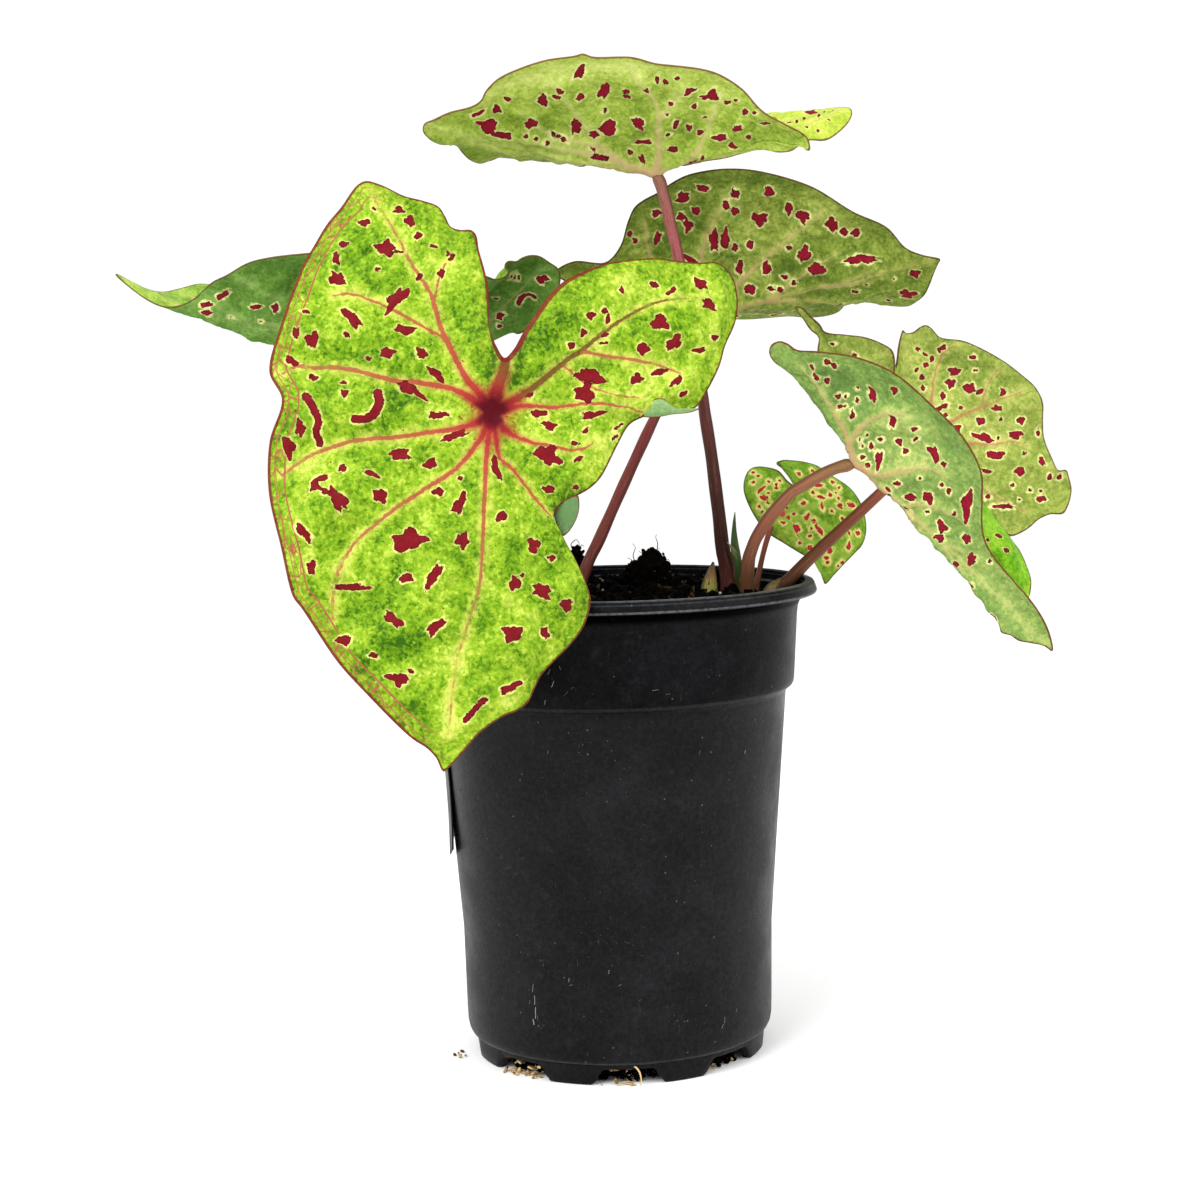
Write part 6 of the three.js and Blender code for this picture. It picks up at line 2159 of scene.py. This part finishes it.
mixDraw = np.random.default_rng(41)
for add in (addMix, addBark, addPerlite, addFibres):
    add(mixDraw)
print("potting mix done")

# What has come out through the drain gaps: straw-coloured bits and one thin root.
drainings = {
    "gaps": [(-43, 46, 43), (-2, 15, 42.8), (48, 3, 41)],  # degrees from the front, count, reach
    "halfGap": 10,
    "behind": 150,  # dark grains behind each gap: partly crumbs, partly painted shade under the pot
    "behindRadii": (32, 39.6),
    "root": [(3.2, -41.5, 5.2), (3.9, -43.2, 5.4), (4.9, -44.2, 4.2), (5.3, -44.8, 2.2), (5, -45.2, 0.7)],
    "crumbs": [(-46.5, -8, 0.3), (-47.6, -9.5, 0.4), (-45.4, -12, 0.4), (-48.5, -11, 0.3),
               (-46.8, -13.2, 0.5)],
    "lowest": 0.05,
}


# A grain moved to its place and kept above the floor.
def lieAt(corners, place):
    corners = corners + place
    corners[:, 2] = np.maximum(corners[:, 2], drainings["lowest"])
    return corners


def addDrainings():
    draw = np.random.default_rng(77)
    bits, dark = Heap(), Heap()
    for gap, count, reach in drainings["gaps"]:
        for _ in range(count):
            turn = fromFront(gap + draw.uniform(-drainings["halfGap"], drainings["halfGap"]))
            radius, size = draw.uniform(36, reach), draw.uniform(0.35, 1.1)
            height = draw.uniform(0.35, 4.2) * (radius < 42) + 0.35
            corners, faces = grain(draw, (size * 1.8, size * 0.7, size * 0.5), 0.3)
            corners = lieAt(corners * (1, 1, 0.6), onCircle(radius, turn, height))
            bits.put(corners, faces, draw.uniform(0.1, 1.1))
        for _ in range(count // 3):  # straws
            turn = fromFront(gap + draw.uniform(-9, 7))
            outX, outY = draw.uniform(38, reach, 2)
            start = np.array([outX * math.cos(turn), outY * math.sin(turn), 0.4])
            path = start + np.linspace(-1, 1, 5)[:, None] * onCircle(1.6, draw.uniform(0, math.pi), 0)
            path = path + draw.normal(0, 0.25, (5, 3)) * (1, 1, 0.3)
            path[:, 2] = np.maximum(path[:, 2], 0.25)
            bits.putTube(smoothLine(path, 0.4), 0.2, 6, draw.uniform(0.4, 1.1))
    for place in drainings["crumbs"]:
        corners, faces = grain(draw, draw.uniform(0.3, 0.8, 3), 0.3)
        bits.put(lieAt(corners, place), faces, draw.uniform(0, 0.7))
    line = smoothLine(drainings["root"], 0.3)
    bits.putTube(line, np.linspace(0.32, 0.16, len(line)), 8, 1.2)
    # dark grains under the pot behind every gap: partly fallen crumbs, partly a dark fill that paints the
    # shade under the pot's floor
    for number in range(pot["feet"]):
        for _ in range(drainings["behind"]):
            turn = fromFront(pot["firstGap"] + number * 360 / pot["feet"] + draw.uniform(-12, 12))
            radius, height = draw.uniform(*drainings["behindRadii"]), draw.uniform(0.5, 4.2)
            corners, faces = grain(draw, draw.uniform(0.5, 1.1, 3), 0.3)
            dark.put(lieAt(corners, onCircle(radius, turn, height)), faces, draw.uniform(0, 0.6))
    standFor(dark.piece("gapCrumbsAndShade", looseMaterial("gapCrumbsAndShade")), None)
    standFor(bits.piece("drainBits", looseMaterial("straw")), None)


addDrainings()

# The blank flap at the pot's left side.
flap = {
    "thickness": 0.45,
    "low": 58,
    "high": 86,
    "from": 166,  # degrees round the pot
    "to": 196,
    "gap": 0.25,
    "lift": 1.2,  # how far its lower end stands off
    "point": 11,  # how blunt the lower end runs out
    "pointAt": 0.55,
    "wall": (45.4, 37, 3.2 / 42),  # the pot's radius, at what height, and how much it widens upwards
    "columns": 40,
    "levels": 30,
}


def addFlap():
    columns, levels = flap["columns"], flap["levels"]
    across, up = np.meshgrid(np.linspace(0, 1, columns + 1), np.linspace(0, 1, levels + 1))
    height = flap["low"] + (flap["high"] - flap["low"]) * up
    height = height + flap["point"] * (1 - up) * np.abs(across - flap["pointAt"]) ** 1.3
    wall, foot, widening = flap["wall"]
    radius = wall + (height - foot) * widening + flap["gap"] + flap["lift"] * (1 - up) ** 2
    turn = np.radians(flap["from"] + (flap["to"] - flap["from"]) * across)
    layers = [onCircle(radius + side, turn, height) for side in (0, flap["thickness"])]
    points = np.reshape(layers, (-1, 3))
    wide = columns + 1
    count = wide * (levels + 1)
    faces = []
    for j in range(levels):
        for i in range(columns):
            a = j * wide + i
            inner, outer = (a, a + wide, a + wide + 1, a + 1), (a, a + 1, a + wide + 1, a + wide)
            faces += [inner, tuple(corner + count for corner in outer)]
    edge = [*range(wide), *range(wide + columns, count, wide), *range(count - 2, levels * wide - 1, -1),
            *range((levels - 1) * wide, 0, -wide)]
    faces += [(a, b, b + count, a + count) for a, b in zip(edge, edge[1:] + edge[:1])]
    standFor(makePiece("labelFlap", points, faces, [potMaterial()]), "label_flap")


tuberSkin = {"nodes": ("tuber_left", "tuber_right"), "dark": (52, 34, 24), "light": (104, 76, 54)}


# The tubers keep their shape.
def dressTubers():
    paint = Paint("tuberSkin", roughness=0.9)
    rings = paint.noise(paint.place(), 2.5, detail=6, rough=0.7)
    paint.colour(paint.mix(rings, tint(tuberSkin["dark"]), tint(tuberSkin["light"])))
    paint.bump(rings, 0.8, 0.6)
    for node in tuberSkin["nodes"]:
        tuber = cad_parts[node]
        tuber.data.materials.clear()
        tuber.data.materials.append(paint.material)


addFlap()
dressTubers()
print("flap and tubers done")

studio = {
    "sky": 1.06,
    "key": {"place": (-480, -640, 820), "size": 0.7, "power": 10},
    "fill": {"place": (700, -300, 620), "size": 0.8, "power": 4},
    "aim": (0, 0, 130),
    "paper": ((0.93, 0.93, 0.93, 1), (0.95, 0.95, 0.95, 1)),
    "floor": 20000,
}


def addStudio():
    bpy.context.scene.view_settings.view_transform = "Standard"
    world = bpy.data.worlds.new("studio")
    bpy.context.scene.world = world
    world.use_nodes = True
    sky = world.node_tree.nodes["Background"]
    sky.inputs[0].default_value = (1, 1, 1, 1)
    sky.inputs[1].default_value = studio["sky"]
    for name in ("key", "fill"):
        light = studio[name]
        lamp = bpy.data.lights.new(name, "AREA")
        lamp.shape, lamp.size, lamp.energy = "DISK", light["size"], light["power"]
        holder = bpy.data.objects.new(name, lamp)
        holder.location = inFrame(light["place"])
        aim = Vector(inFrame(studio["aim"])) - holder.location
        holder.rotation_euler = aim.to_track_quat("-Z", "Y").to_euler()
        bpy.context.scene.collection.objects.link(holder)
    paper = Paint("paper", roughness=0.9)
    paper.colour(paper.mix(paper.noise(paper.place(1.0), 0.6, 2), *studio["paper"]))
    size = studio["floor"]
    corners = [(-size, -size, 0), (size, -size, 0), (size, size, 0), (-size, size, 0)]
    makePiece("floor", corners, [(0, 1, 2, 3)], [paper.material], smooth=False)


addStudio()
